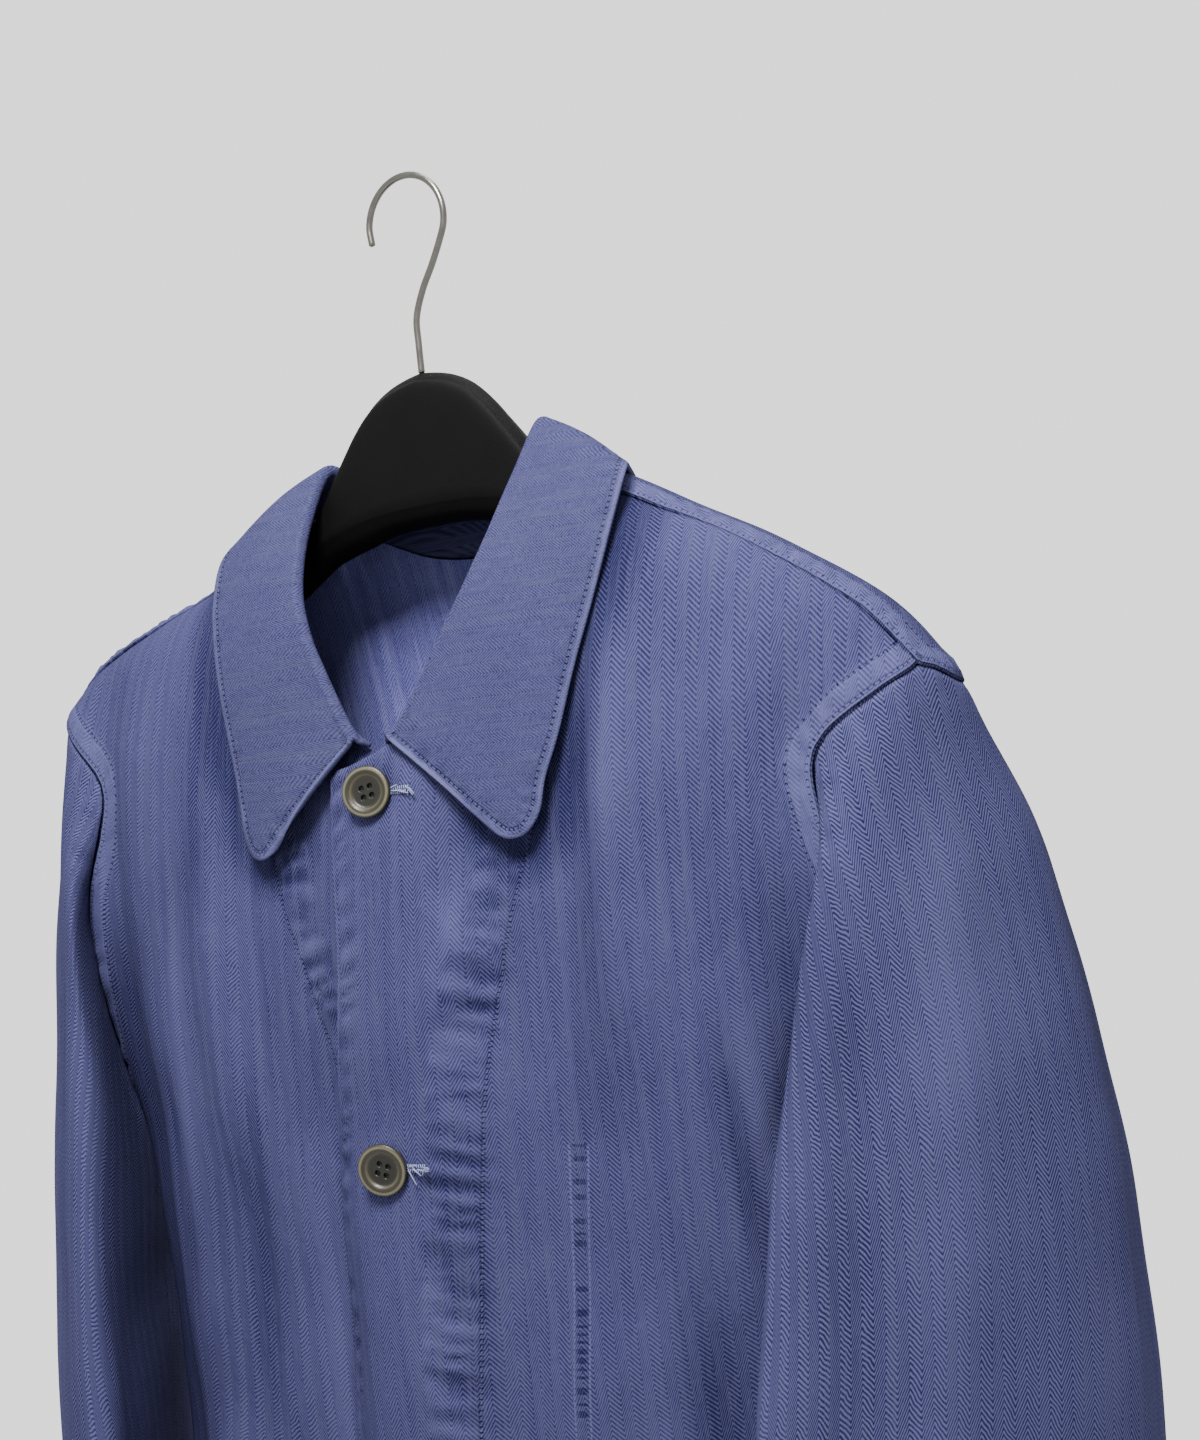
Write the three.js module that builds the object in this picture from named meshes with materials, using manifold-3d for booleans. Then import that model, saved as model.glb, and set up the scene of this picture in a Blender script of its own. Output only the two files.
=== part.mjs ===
// Chore jacket on its hanger, in millimetres.
// +X is the wearer's left, -Y is the front, +Z is up.
// The origin is the inner top of the hanger's hook, where the hook is held.
import * as THREE from "three";
import { mergeVertices } from "three/addons/utils/BufferGeometryUtils.js";
import Module from "manifold-3d";

// Driving dimensions. Heights in the tables are measured from the top of the hanger's neck.
const NECK_TOP_Z = -85;
const WALL = 1.5;
const COLLAR_WALL = 2;
const SEAM_PULL = 0.2;
const FRONT_OVERLAP = 25;
const OVERLAP_GAP = 1.6;
const UNDERARM_Z = -340;
const HEM_Z = -795;
const BODY_MIDDLE_Y = 3;
const EVENNESS = 0.5;
const BUTTON_RADIUS = 10;
const BUTTON_THICKNESS = 3.2;
const BUTTON_HEIGHTS = [-179, -328, -478, -628];
const FOLD_RADIUS = 1.7;
const COLLAR_BULGE = 0.045;
const SEAM_GAP = 0.5;
const WIRE_RADIUS = 1.5;
const CROOK_RADIUS = 20.5;

// Level sections of the body: half width, depth to the front and back, and squareness of each.
const BODY_SECTIONS = [
  { z: -44, width: 54, front: 13, back: 9, squareFront: 2, squareBack: 2 },
  { z: -52.5, width: 79, front: 20, back: 15, squareFront: 2, squareBack: 2 },
  { z: -63, width: 102, front: 28, back: 20, squareFront: 2.1, squareBack: 2 },
  { z: -79, width: 130, front: 37, back: 27, squareFront: 2.2, squareBack: 2 },
  { z: -92, width: 155, front: 39.5, back: 30, squareFront: 2.3, squareBack: 2.1 },
  { z: -102, width: 171, front: 41, back: 33, squareFront: 2.4, squareBack: 2.2 },
  { z: -124, width: 203, front: 43.5, back: 37, squareFront: 2.6, squareBack: 2.3 },
  { z: -142, width: 219, front: 46.5, back: 40, squareFront: 2.8, squareBack: 2.4 },
  { z: -162, width: 231, front: 50, back: 42, squareFront: 3, squareBack: 2.5 },
  { z: -200, width: 233, front: 55, back: 46, squareFront: 3.2, squareBack: 2.6 },
  { z: -260, width: 219, front: 59.5, back: 50, squareFront: 3.2, squareBack: 2.7 },
  { z: -340, width: 196, front: 61, back: 53, squareFront: 2.9, squareBack: 2.8 },
  { z: -430, width: 185, front: 62, back: 54, squareFront: 2.7, squareBack: 2.8 },
  { z: -560, width: 184, front: 64, back: 55, squareFront: 2.7, squareBack: 2.8 },
  { z: -700, width: 189, front: 66, back: 55, squareFront: 2.7, squareBack: 2.8 },
  { z: -800, width: 195, front: 67, back: 55, squareFront: 2.8, squareBack: 2.8 },
];

// The two layers of the placket stand forward of the chest in a soft crest.
const PLACKET_CREST = [
  { z: -95, rise: 0 },
  { z: -120, rise: 2 },
  { z: -136, rise: 4.5 },
  { z: -150, rise: 7.4 },
  { z: -161, rise: 10 },
  { z: -179, rise: 13.5 },
  { z: -250, rise: 16.5 },
  { z: -328, rise: 19 },
  { z: -430, rise: 21 },
  { z: -560, rise: 19 },
  { z: -800, rise: 11 },
];
const CREST_REACH = 35;
const CREST_SHARPNESS = 3.4;

// Folds of the body: how far their line lies from the middle at its top and bottom, to the
// wearer's left or right, and whether on the front or the back. A negative rise is a trough.
const BODY_FOLDS = [
  { face: "front", x: 118, endX: 88, top: -75, bottom: -330, width: 13, rise: 5 },
  { face: "front", x: 98, endX: 72, top: -120, bottom: -320, width: 12, rise: -3 },
  { face: "front", x: 190, endX: 142, top: -105, bottom: -640, width: 15, rise: -7 },
  { face: "front", x: 204, endX: 178, top: -105, bottom: -260, width: 10, rise: 2.5 },
  { face: "front", x: 74, endX: 0, top: -190, bottom: -305, width: 15, rise: 3.5 },
  { face: "front", x: 64, endX: 56, top: -350, bottom: -860, width: 22, rise: 4 },
  { face: "front", x: 104, endX: 118, top: -400, bottom: -860, width: 20, rise: -5 },
  { face: "front", x: -122, endX: -92, top: -80, bottom: -380, width: 14, rise: 4.5 },
  { face: "front", x: -98, endX: -76, top: -130, bottom: -340, width: 13, rise: -2.5 },
  { face: "front", x: -188, endX: -146, top: -105, bottom: -700, width: 16, rise: -7 },
  { face: "front", x: -58, endX: -70, top: -330, bottom: -860, width: 20, rise: -3.5 },
  { face: "front", x: -112, endX: -100, top: -430, bottom: -860, width: 23, rise: 5 },
  { face: "back", x: 166, endX: 150, top: -120, bottom: -860, width: 17, rise: -6 },
  { face: "back", x: 112, endX: 92, top: -230, bottom: -860, width: 21, rise: 5 },
  { face: "back", x: 48, endX: 54, top: -300, bottom: -860, width: 22, rise: -5 },
  { face: "back", x: -164, endX: -156, top: -125, bottom: -860, width: 17, rise: -6 },
  { face: "back", x: -104, endX: -110, top: -260, bottom: -860, width: 23, rise: 5 },
  { face: "back", x: -38, endX: -26, top: -340, bottom: -860, width: 20, rise: -4 },
];
const FOLD_END = 70;
const FOLD_ROOT = 22;

// The wearer's right shoulder sits a little higher on the hanger than the left one.
const SHOULDER_LIFT = { rise: 21, from: 115, over: 115, top: -230, bottom: -400 };

// Neck seam on the body, from the overlapping front edge to the shoulder and the centre back.
const NECK_SEAM_FRONT = [
  { x: 0, z: -163 },
  { x: 8, z: -159 },
  { x: 18, z: -152.5 },
  { x: 28, z: -143 },
  { x: 38, z: -133 },
  { x: 52, z: -120 },
  { x: 64, z: -105 },
  { x: 70, z: -90 },
  { x: 72.5, z: -74 },
  { x: 72.5, z: -58 },
];
const NECK_SEAM_BACK = [
  { x: 72.5, z: -58 },
  { x: 69, z: -50.6 },
  { x: 60, z: -58 },
  { x: 44, z: -68 },
  { x: 23, z: -76.5 },
  { x: 0, z: -79.5 },
];
const OVERLAP_CORNER_Z = -170;

// Collar: the fold line and the outer edge that belong to each point of the neck seam.
const COLLAR_FRONT = [
  { foldX: 8.5, foldY: -61, foldZ: -156.5, edgeX: 55, edgeY: -60, edgeZ: -196 },
  { foldX: 12, foldY: -57.5, foldZ: -154, edgeX: 63, edgeY: -60, edgeZ: -202 },
  { foldX: 18, foldY: -55.5, foldZ: -145.5, edgeX: 71, edgeY: -58.5, edgeZ: -201 },
  { foldX: 24, foldY: -53.5, foldZ: -136, edgeX: 77, edgeY: -56, edgeZ: -193 },
  { foldX: 30, foldY: -51.5, foldZ: -125.5, edgeX: 80, edgeY: -54, edgeZ: -180 },
  { foldX: 38.5, foldY: -47.8, foldZ: -110.5, edgeX: 85.5, edgeY: -49.5, edgeZ: -163 },
  { foldX: 47, foldY: -40.6, foldZ: -92, edgeX: 93, edgeY: -45, edgeZ: -138 },
  { foldX: 53, foldY: -29.4, foldZ: -72, edgeX: 100.3, edgeY: -39, edgeZ: -114 },
  { foldX: 56.8, foldY: -15.4, foldZ: -52, edgeX: 106.4, edgeY: -30, edgeZ: -86.5 },
  { foldX: 58, foldY: 0, foldZ: -33, edgeX: 107.5, edgeY: -16.6, edgeZ: -64 },
];
const COLLAR_BACK = [
  { foldX: 58, foldY: 0, foldZ: -33, edgeX: 107.5, edgeY: -16.6, edgeZ: -64 },
  { foldX: 54, foldY: 10, foldZ: -35, edgeX: 97.5, edgeY: 3, edgeZ: -58.2 },
  { foldX: 45, foldY: 17, foldZ: -39, edgeX: 90, edgeY: 21.5, edgeZ: -69.7 },
  { foldX: 31, foldY: 21.5, foldZ: -41.5, edgeX: 73, edgeY: 32.5, edgeZ: -88 },
  { foldX: 16, foldY: 23.5, foldZ: -43.5, edgeX: 40, edgeY: 39.5, edgeZ: -101 },
  { foldX: 0, foldY: 24, foldZ: -44, edgeX: 0, edgeY: 42, edgeZ: -106 },
];

// Armhole, from the ridge of the shoulder down the front and up the back.
const ARMHOLE_FRONT = [
  { y: 3, z: -160 },
  { y: -7, z: -156 },
  { y: -15, z: -153 },
  { y: -28, z: -162 },
  { y: -38.5, z: -179 },
  { y: -41, z: -205 },
  { y: -38, z: -240 },
  { y: -33, z: -275 },
  { y: -23, z: -305 },
  { y: -10, z: -330 },
  { y: 3, z: UNDERARM_Z },
];
const ARMHOLE_BACK = [
  { y: 3, z: -160 },
  { y: 15, z: -161.5 },
  { y: 26, z: -167 },
  { y: 36, z: -182 },
  { y: 42, z: -207 },
  { y: 42, z: -242 },
  { y: 37, z: -277 },
  { y: 28, z: -307 },
  { y: 16, z: -330 },
  { y: 3, z: UNDERARM_Z },
];
const SEAM_END_STATION = 2;
const ARMHOLE_MIDDLE = { z: -240, above: 80, below: 100, half: 43 };

// Sleeve rings: outermost, front, innermost and rear point of each ring.
const SLEEVE_RINGS = [
  { outer: [230, 3, -160], front: [193, -42, -240], inner: [196, 3, -340], rear: [211, 44, -242] },
  { outer: [235.5, 3, -187], front: [184, -60, -258], inner: [201, 3, -346], rear: [219, 53, -250] },
  { outer: [243, 2, -222], front: [178, -69, -298], inner: [203, 2, -357], rear: [226, 56, -282] },
  { outer: [249, 0, -262], front: [174, -78, -338], inner: [203, 0, -374], rear: [234, 57, -318] },
  { outer: [255, -5, -315], front: [171, -87, -380], inner: [202, -5, -398], rear: [241, 56, -362] },
  { outer: [256, -11, -378], front: [168, -95, -428], inner: [199, -10, -432], rear: [246, 52, -416] },
  { outer: [252, -20, -455], front: [165, -102, -485], inner: [198, -15, -483], rear: [249, 46, -480] },
  { outer: [245, -34, -550], front: [166, -106, -560], inner: [198, -25, -558], rear: [250, 33, -560] },
  { outer: [241, -46, -655], front: [170, -109, -660], inner: [199, -35, -660], rear: [247, 14, -660] },
  { outer: [240, -56, -757], front: [175, -112, -757], inner: [201, -46, -757], rear: [243, -2, -757] },
];
const SLEEVE_STEPS = [0, 0.2, 0.5, 0.9, 1.35, 1.8, 2.3, 2.8, 3.4, 4, 4.7, 5.4, 6.2, 7, 8, 9];

// Hanger: height of the top, front crease and underside, and half thickness, across its width.
const HANGER_SECTIONS = [
  { x: 0, top: 0, crease: -58, under: -67, thick: 9 },
  { x: 10, top: -1.8, crease: -58, under: -67, thick: 9 },
  { x: 18, top: -5.2, crease: -58.4, under: -67.5, thick: 9 },
  { x: 28, top: -12, crease: -59, under: -69, thick: 9 },
  { x: 36, top: -20, crease: -60.2, under: -71, thick: 9 },
  { x: 43, top: -29, crease: -61.5, under: -72.5, thick: 9 },
  { x: 51, top: -40, crease: -63.5, under: -74.5, thick: 9 },
  { x: 59, top: -51.5, crease: -66, under: -77, thick: 9 },
  { x: 68, top: -60, crease: -70.5, under: -82, thick: 9 },
  { x: 85, top: -67, crease: -79, under: -91, thick: 9 },
  { x: 105, top: -73.5, crease: -86, under: -98, thick: 9 },
  { x: 130, top: -84.2, crease: -99, under: -111, thick: 9.5 },
  { x: 155, top: -95.4, crease: -111, under: -123, thick: 10.5 },
  { x: 180, top: -110.5, crease: -126, under: -138, thick: 11 },
  { x: 197, top: -123.9, crease: -136, under: -146, thick: 10.5 },
  { x: 205, top: -132.3, crease: -140, under: -144, thick: 6 },
];

const blue = { color: 0x5a6192, roughness: 0.86, metalness: 0 };
const FINISHES = {
  body: blue,
  collar: { color: 0x666e9c, roughness: 0.86, metalness: 0 },
  sleeve: { color: 0x575c8c, roughness: 0.86, metalness: 0 },
  button: { color: 0x6b6a58, roughness: 0.38, metalness: 0.1 },
  hanger: { color: 0x171717, roughness: 0.9, metalness: 0 },
  wire: { color: 0xb9b6ad, roughness: 0.3, metalness: 1 },
};

const wasm = await Module();
wasm.setup();

const clamp01 = (v) => Math.min(1, Math.max(0, v));
const smooth = (v) => clamp01(v) ** 2 * (3 - 2 * clamp01(v));
const mix = (a, b, t) => a + (b - a) * t;

// Value of one column of a table at a position along another column, on a smooth curve.
function along(table, key, at, column) {
  const last = table.length - 1;
  const rising = table[last][key] > table[0][key] ? 1 : -1;
  let i = 0;
  while (i < last - 1 && (at - table[i + 1][key]) * rising > 0) i++;
  const slope = (j) => {
    const a = Math.max(0, j - 1);
    const b = Math.min(last, j + 1);
    return (table[b][column] - table[a][column]) / (table[b][key] - table[a][key]);
  };
  const span = table[i + 1][key] - table[i][key];
  const t = clamp01((at - table[i][key]) / span);
  const u = 1 - t;
  return (
    table[i][column] * (1 + 2 * t) * u * u +
    table[i + 1][column] * t * t * (3 - 2 * t) +
    slope(i) * span * t * u * u -
    slope(i + 1) * span * t * t * u
  );
}

// Point of a smooth curve through a list of vectors, at a whole or fractional index.
function through(points, at) {
  const last = points.length - 1;
  const i = Math.min(last - 1, Math.max(0, Math.floor(at)));
  const t = at - i;
  const p1 = points[i];
  const p2 = points[i + 1];
  const p0 = i > 0 ? points[i - 1] : p1.clone().multiplyScalar(2).sub(p2);
  const p3 = i < last - 1 ? points[i + 2] : p2.clone().multiplyScalar(2).sub(p1);
  const spline = (a, b, c, d) =>
    0.5 * (2 * b + (c - a) * t + (2 * a - 5 * b + 4 * c - d) * t * t + (3 * b - a - 3 * c + d) * t ** 3);
  return new THREE.Vector3(
    spline(p0.x, p1.x, p2.x, p3.x),
    spline(p0.y, p1.y, p2.y, p3.y),
    spline(p0.z, p1.z, p2.z, p3.z),
  );
}

// A quarter of a rounded rectangle of half size 1, from the middle of its face to its side.
function quarter(share, squareness) {
  const angle = share * (1 - EVENNESS + EVENNESS * share) * (Math.PI / 2);
  const s = Math.abs(Math.sin(angle));
  const c = Math.abs(Math.cos(angle));
  const r = (s ** squareness + c ** squareness) ** (-1 / squareness);
  return [s * r, c * r];
}

// The share of a quarter at which a given part of its half width is reached.
function shareOf(across, squareness) {
  const deep = Math.max(0, 1 - across ** squareness) ** (1 / squareness);
  const g = Math.atan2(across, deep) / (Math.PI / 2);
  const b = 1 - EVENNESS;
  return (Math.sqrt(b * b + 4 * EVENNESS * g) - b) / (2 * EVENNESS);
}

const wrapGirth = (w) => w - 4 * Math.floor((w + 2) / 4);

function plainBody(girth, z) {
  const w = wrapGirth(girth);
  const side = Math.sign(w) || 1;
  const a = Math.abs(w);
  const width = along(BODY_SECTIONS, "z", z, "width");
  if (a <= 1) {
    const [s, c] = quarter(a, along(BODY_SECTIONS, "z", z, "squareFront"));
    const y = BODY_MIDDLE_Y - c * along(BODY_SECTIONS, "z", z, "front");
    return new THREE.Vector3(side * s * width, y, z);
  }
  const [s, c] = quarter(2 - a, along(BODY_SECTIONS, "z", z, "squareBack"));
  const y = BODY_MIDDLE_Y + c * along(BODY_SECTIONS, "z", z, "back");
  return new THREE.Vector3(side * s * width, y, z);
}

function normalOf(surface, girth, z) {
  const step = 0.004;
  const across = surface(girth + step, z).sub(surface(girth - step, z));
  const up = surface(girth, z + 0.8).sub(surface(girth, z - 0.8));
  return across.cross(up).normalize();
}

function foldRise(p) {
  const face = p.y < BODY_MIDDLE_Y ? "front" : "back";
  let rise = 0;
  for (const f of BODY_FOLDS) {
    if (f.face !== face || p.z > f.top || p.z < f.bottom) continue;
    const distance = p.x - mix(f.x, f.endX, (f.top - p.z) / (f.top - f.bottom));
    const ends = smooth((f.top - p.z) / FOLD_END) * smooth((p.z - f.bottom) / FOLD_END);
    rise += f.rise * ends * Math.exp(-((distance / f.width) ** 2));
  }
  return rise * smooth(Math.abs(p.y - BODY_MIDDLE_Y) / FOLD_ROOT);
}

function lifted(p) {
  const outwards = smooth((-p.x - SHOULDER_LIFT.from) / SHOULDER_LIFT.over);
  const up = (p.z - SHOULDER_LIFT.bottom) / (SHOULDER_LIFT.top - SHOULDER_LIFT.bottom);
  return new THREE.Vector3(p.x, p.y, p.z + SHOULDER_LIFT.rise * outwards * smooth(up));
}

function evenBody(girth, z) {
  const p = plainBody(girth, z);
  if (p.y < BODY_MIDDLE_Y) {
    const crest = along(PLACKET_CREST, "z", z, "rise");
    p.y -= crest * Math.exp(-((Math.abs(p.x) / CREST_REACH) ** CREST_SHARPNESS));
  }
  const rise = foldRise(plainBody(girth, z));
  return rise ? p.addScaledVector(normalOf(plainBody, girth, z), rise) : p;
}

const foldedBody = (girth, z) => lifted(evenBody(girth, z));

// A point of the body's cloth, moved out from its outer face by a distance.
function bodySkin(girth, z, out = 0) {
  return foldedBody(girth, z).addScaledVector(normalOf(foldedBody, girth, z), out);
}

// Girth of the points of the neck seam, which are given by x, and of the armhole, given by y.
function girthAtX(x, z, isBack) {
  const across = Math.abs(x) / along(BODY_SECTIONS, "z", z, "width");
  const square = along(BODY_SECTIONS, "z", z, isBack ? "squareBack" : "squareFront");
  const share = shareOf(Math.min(1, across), square);
  return (isBack ? 2 - share : share) * (Math.sign(x) || 1);
}

function girthAtY(y, z) {
  const isBack = y > BODY_MIDDLE_Y;
  const depth = along(BODY_SECTIONS, "z", z, isBack ? "back" : "front");
  const square = along(BODY_SECTIONS, "z", z, isBack ? "squareBack" : "squareFront");
  const deep = Math.abs(y - BODY_MIDDLE_Y) / depth;
  const share = shareOf((1 - deep ** square) ** (1 / square), square);
  return isBack ? 2 - share : share;
}

// Seam points as [girth, z] pairs, held as vectors for the smooth curves.
const seamPoint = (girth, z) => new THREE.Vector3(girth, 0, z);
const neckFront = NECK_SEAM_FRONT.map((p) => seamPoint(girthAtX(p.x, p.z, false), p.z));
const neckBack = NECK_SEAM_BACK.map((p, i) =>
  i === 0 ? seamPoint(girthAtX(p.x, p.z, false), p.z) : seamPoint(girthAtX(p.x, p.z, true), p.z),
);
const armholeFront = ARMHOLE_FRONT.map((p) => seamPoint(girthAtY(p.y, p.z), p.z));
const armholeBack = ARMHOLE_BACK.map((p) => seamPoint(girthAtY(p.y, p.z), p.z));

const SHOULDER_COLUMNS = 8;
const SIDE_ROWS = 9;
const TOP_FADE = 1.6;
const RIDGE_ROW = 2;
const NECK_ROW_DROP = 7;
const NECK_ROW_SPREAD = 1.04;

// Shoulder seam, a little forward of the ridge, from the neck to the armhole.
function shoulderSeam(share) {
  const neck = neckFront[neckFront.length - 1];
  const end = armholeFront[SEAM_END_STATION];
  if (share === 0) return neck.clone();
  if (share === 1) return end.clone();
  const z = mix(neck.z, end.z, share);
  const y = mix(plainBody(neck.x, neck.z).y, ARMHOLE_FRONT[SEAM_END_STATION].y, share);
  return seamPoint(girthAtY(y, z), z);
}

const shares = (count) => Array.from({ length: count }, (_, i) => (i + 1) / count);

// Top edge of a front: overlap corner, centre front, neck seam, then shoulder seam.
function frontTop() {
  const corner = seamPoint(girthAtX(-FRONT_OVERLAP, OVERLAP_CORNER_Z, false), OVERLAP_CORNER_Z);
  const half = corner.clone().lerp(neckFront[0], 0.5);
  const seam = shares(SHOULDER_COLUMNS).map(shoulderSeam);
  return [corner, half, ...neckFront, ...seam];
}

// Half of the top edge of the back, from the armhole to the centre back.
function backTopHalf() {
  const seam = [0, ...shares(SHOULDER_COLUMNS)].reverse().map(shoulderSeam);
  return [...seam, ...neckBack.slice(1)];
}

// Rows of a panel between its two long edges. The top edge's shape fades out downwards.
function panelRows(top, left, right, fade) {
  const lengths = [0];
  for (let i = 1; i < top.length; i++) {
    const a = plainBody(top[i - 1].x, top[i - 1].z);
    lengths.push(lengths[i - 1] + a.distanceTo(plainBody(top[i].x, top[i].z)));
  }
  const whole = lengths[lengths.length - 1];
  return left.map((start, row) => {
    const end = right[row];
    return top.map((t, column) => {
      const level = mix(column / (top.length - 1), lengths[column] / whole, 0.5);
      const first = left[0].clone().lerp(right[0], level);
      return start.clone().lerp(end, level).addScaledVector(t.clone().sub(first), fade[row]);
    });
  });
}

// A closed wall from the points of its outer and inner face. Rings close on themselves.
function wallGeometry(outer, inner, isRing) {
  const rows = outer.length;
  const columns = outer[0].length;
  const positions = [];
  for (const face of [outer, inner]) {
    for (const row of face) for (const p of row) positions.push(p.x, p.y, p.z);
  }
  const at = (face, r, c) => face * rows * columns + r * columns + (c % columns);
  const index = [];
  const quad = (a, b, c, d) => index.push(a, b, c, a, c, d);
  const across = isRing ? columns : columns - 1;
  for (let r = 0; r < rows - 1; r++) {
    for (let c = 0; c < across; c++) {
      quad(at(0, r, c), at(0, r + 1, c), at(0, r + 1, c + 1), at(0, r, c + 1));
      quad(at(1, r, c), at(1, r, c + 1), at(1, r + 1, c + 1), at(1, r + 1, c));
    }
  }
  for (let c = 0; c < across; c++) {
    quad(at(0, 0, c), at(0, 0, c + 1), at(1, 0, c + 1), at(1, 0, c));
    quad(at(0, rows - 1, c), at(1, rows - 1, c), at(1, rows - 1, c + 1), at(0, rows - 1, c + 1));
  }
  if (!isRing) {
    for (let r = 0; r < rows - 1; r++) {
      quad(at(0, r, 0), at(1, r, 0), at(1, r + 1, 0), at(0, r + 1, 0));
      const c = columns - 1;
      quad(at(0, r, c), at(0, r + 1, c), at(1, r + 1, c), at(1, r, c));
    }
  }
  return facingOut(positions, index);
}

// Turns a closed mesh's faces outwards.
function facingOut(positions, index) {
  const point = (i) => new THREE.Vector3().fromArray(positions, i * 3);
  let volume = 0;
  for (let i = 0; i < index.length; i += 3) {
    volume += point(index[i]).dot(point(index[i + 1]).cross(point(index[i + 2])));
  }
  if (volume < 0) index.reverse();
  const geometry = new THREE.BufferGeometry();
  geometry.setAttribute("position", new THREE.Float32BufferAttribute(positions, 3));
  geometry.setIndex(index);
  return geometry;
}

// Moves the edge points of a grid inwards, which leaves the gap of a seam.
function pullIn(grid, sides) {
  const pulled = grid.map((row) => row.map((p) => p.clone()));
  const lastRow = grid.length - 1;
  const lastColumn = grid[0].length - 1;
  const pull = (r, c, toR, toC) => {
    const way = grid[toR][toC].clone().sub(grid[r][c]).normalize();
    pulled[r][c].addScaledVector(way, SEAM_PULL);
  };
  if (sides.includes("top")) grid[0].forEach((_, c) => pull(0, c, 1, c));
  if (sides.includes("left")) grid.forEach((_, r) => pull(r, 0, r, 1));
  if (sides.includes("right")) grid.forEach((_, r) => pull(r, lastColumn, r, lastColumn - 1));
  if (sides.includes("bottom")) grid[0].forEach((_, c) => pull(lastRow, c, lastRow - 1, c));
  return pulled;
}

function finished(name, geometry, finish) {
  const mesh = new THREE.Mesh(geometry, new THREE.MeshStandardMaterial(finish));
  mesh.name = name;
  return mesh;
}

const mirrored = (p) => new THREE.Vector3(-p.x, p.y, p.z);

// Side edge below the underarm, shared by fronts and back.
const sideHeights = shares(SIDE_ROWS).map((s) => mix(UNDERARM_Z, HEM_Z, s));

function frontPanel(side) {
  const top = frontTop();
  const armhole = armholeFront.slice(SEAM_END_STATION);
  const right = [...armhole, ...sideHeights.map((z) => seamPoint(1, z))];
  const levels = armhole.length - 1;
  const left = right.map((_, row) => {
    const z = row <= levels ? mix(OVERLAP_CORNER_Z, UNDERARM_Z, row / levels) : right[row].z;
    return seamPoint(girthAtX(-FRONT_OVERLAP, z, false), z);
  });
  const fade = right.map((_, row) => clamp01(1 - row / levels) ** TOP_FADE);
  const rows = panelRows(top, left, right, fade);
  // The wearer's right front lies behind the left one where they overlap.
  const face = (out) =>
    rows.map((row) =>
      row.map((p) => {
        const x = plainBody(p.x, p.z).x;
        const behind = side < 0 ? smooth((FRONT_OVERLAP + 26 - x) / 22) : 0;
        const inset = behind * (WALL + OVERLAP_GAP);
        return bodySkin(side * p.x, p.z, out - inset);
      }),
    );
  const sides = ["top", "right"];
  return wallGeometry(pullIn(face(0), sides), pullIn(face(-WALL), sides), false);
}

// Half of the row below the back's top edge: the shoulder's ridge, then a line below the neck.
function ridgeHalf(half) {
  return half.map((p, column) => {
    if (column === 0) return armholeFront[0].clone();
    const x = plainBody(p.x, p.z).x;
    if (column > SHOULDER_COLUMNS) {
      const z = p.z - NECK_ROW_DROP;
      return seamPoint(girthAtX(x * NECK_ROW_SPREAD, z, true), z);
    }
    const atNeck = column === SHOULDER_COLUMNS ? NECK_ROW_SPREAD : 1;
    return seamPoint(1, along(BODY_SECTIONS, "width", x * atNeck, "z"));
  });
}

// A row over the whole back from its half on the wearer's left.
function bothHalves(half) {
  const other = half.slice(0, -1).reverse().map((p) => seamPoint(4 - p.x, p.z));
  return [...half, ...other];
}

function backPanel() {
  const half = backTopHalf();
  const overRidge = armholeFront.slice(0, SEAM_END_STATION + 1).reverse();
  const armhole = [...overRidge, ...armholeBack.slice(1)];
  const left = [...armhole, ...sideHeights.map((z) => seamPoint(1, z))];
  const right = left.map((p) => seamPoint(4 - p.x, p.z));
  const ridge = ridgeHalf(half);
  const between = half.map((p, column) => {
    const x = (plainBody(p.x, p.z).x + plainBody(ridge[column].x, ridge[column].z).x) / 2;
    const z = (p.z + ridge[column].z) / 2;
    return seamPoint(girthAtX(x, z, column > SHOULDER_COLUMNS), z);
  });
  between[0] = armholeFront[1];
  const levels = armhole.length - 1 - RIDGE_ROW;
  const lower = left.slice(RIDGE_ROW);
  const fade = lower.map((_, row) => clamp01(1 - row / levels) ** TOP_FADE);
  const rows = [
    bothHalves(half),
    bothHalves(between),
    ...panelRows(bothHalves(ridge), lower, right.slice(RIDGE_ROW), fade),
  ];
  const face = (out) => rows.map((row) => row.map((p) => bodySkin(p.x, p.z, out)));
  const sides = ["top", "left", "right"];
  return wallGeometry(pullIn(face(0), sides), pullIn(face(-WALL), sides), false);
}

// Sleeve ring through its four named points: an ellipse with one softening term.
function sleeveRing(step) {
  const column = (name) =>
    through(SLEEVE_RINGS.map((ring) => new THREE.Vector3(...ring[name])), step);
  const outer = column("outer");
  const front = column("front");
  const inner = column("inner");
  const rear = column("rear");
  const centre = outer.clone().add(front).add(inner).add(rear).multiplyScalar(0.25);
  const forward = front.clone().sub(rear).multiplyScalar(0.5);
  const outward = outer.clone().sub(inner).multiplyScalar(0.5);
  const skew = front.clone().add(rear).sub(outer).sub(inner).multiplyScalar(0.25);
  return (angle) =>
    centre
      .clone()
      .addScaledVector(forward, Math.cos(angle))
      .addScaledVector(outward, Math.sin(angle))
      .addScaledVector(skew, Math.cos(2 * angle));
}

// Angle round the sleeve of a point of the armhole: 90 degrees on the ridge, 0 at the front.
function turnOf(p) {
  const rise = p.z - ARMHOLE_MIDDLE.z;
  const up = rise / (rise > 0 ? ARMHOLE_MIDDLE.above : ARMHOLE_MIDDLE.below);
  return Math.atan2(up, (BODY_MIDDLE_Y - p.y) / ARMHOLE_MIDDLE.half);
}

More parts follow.
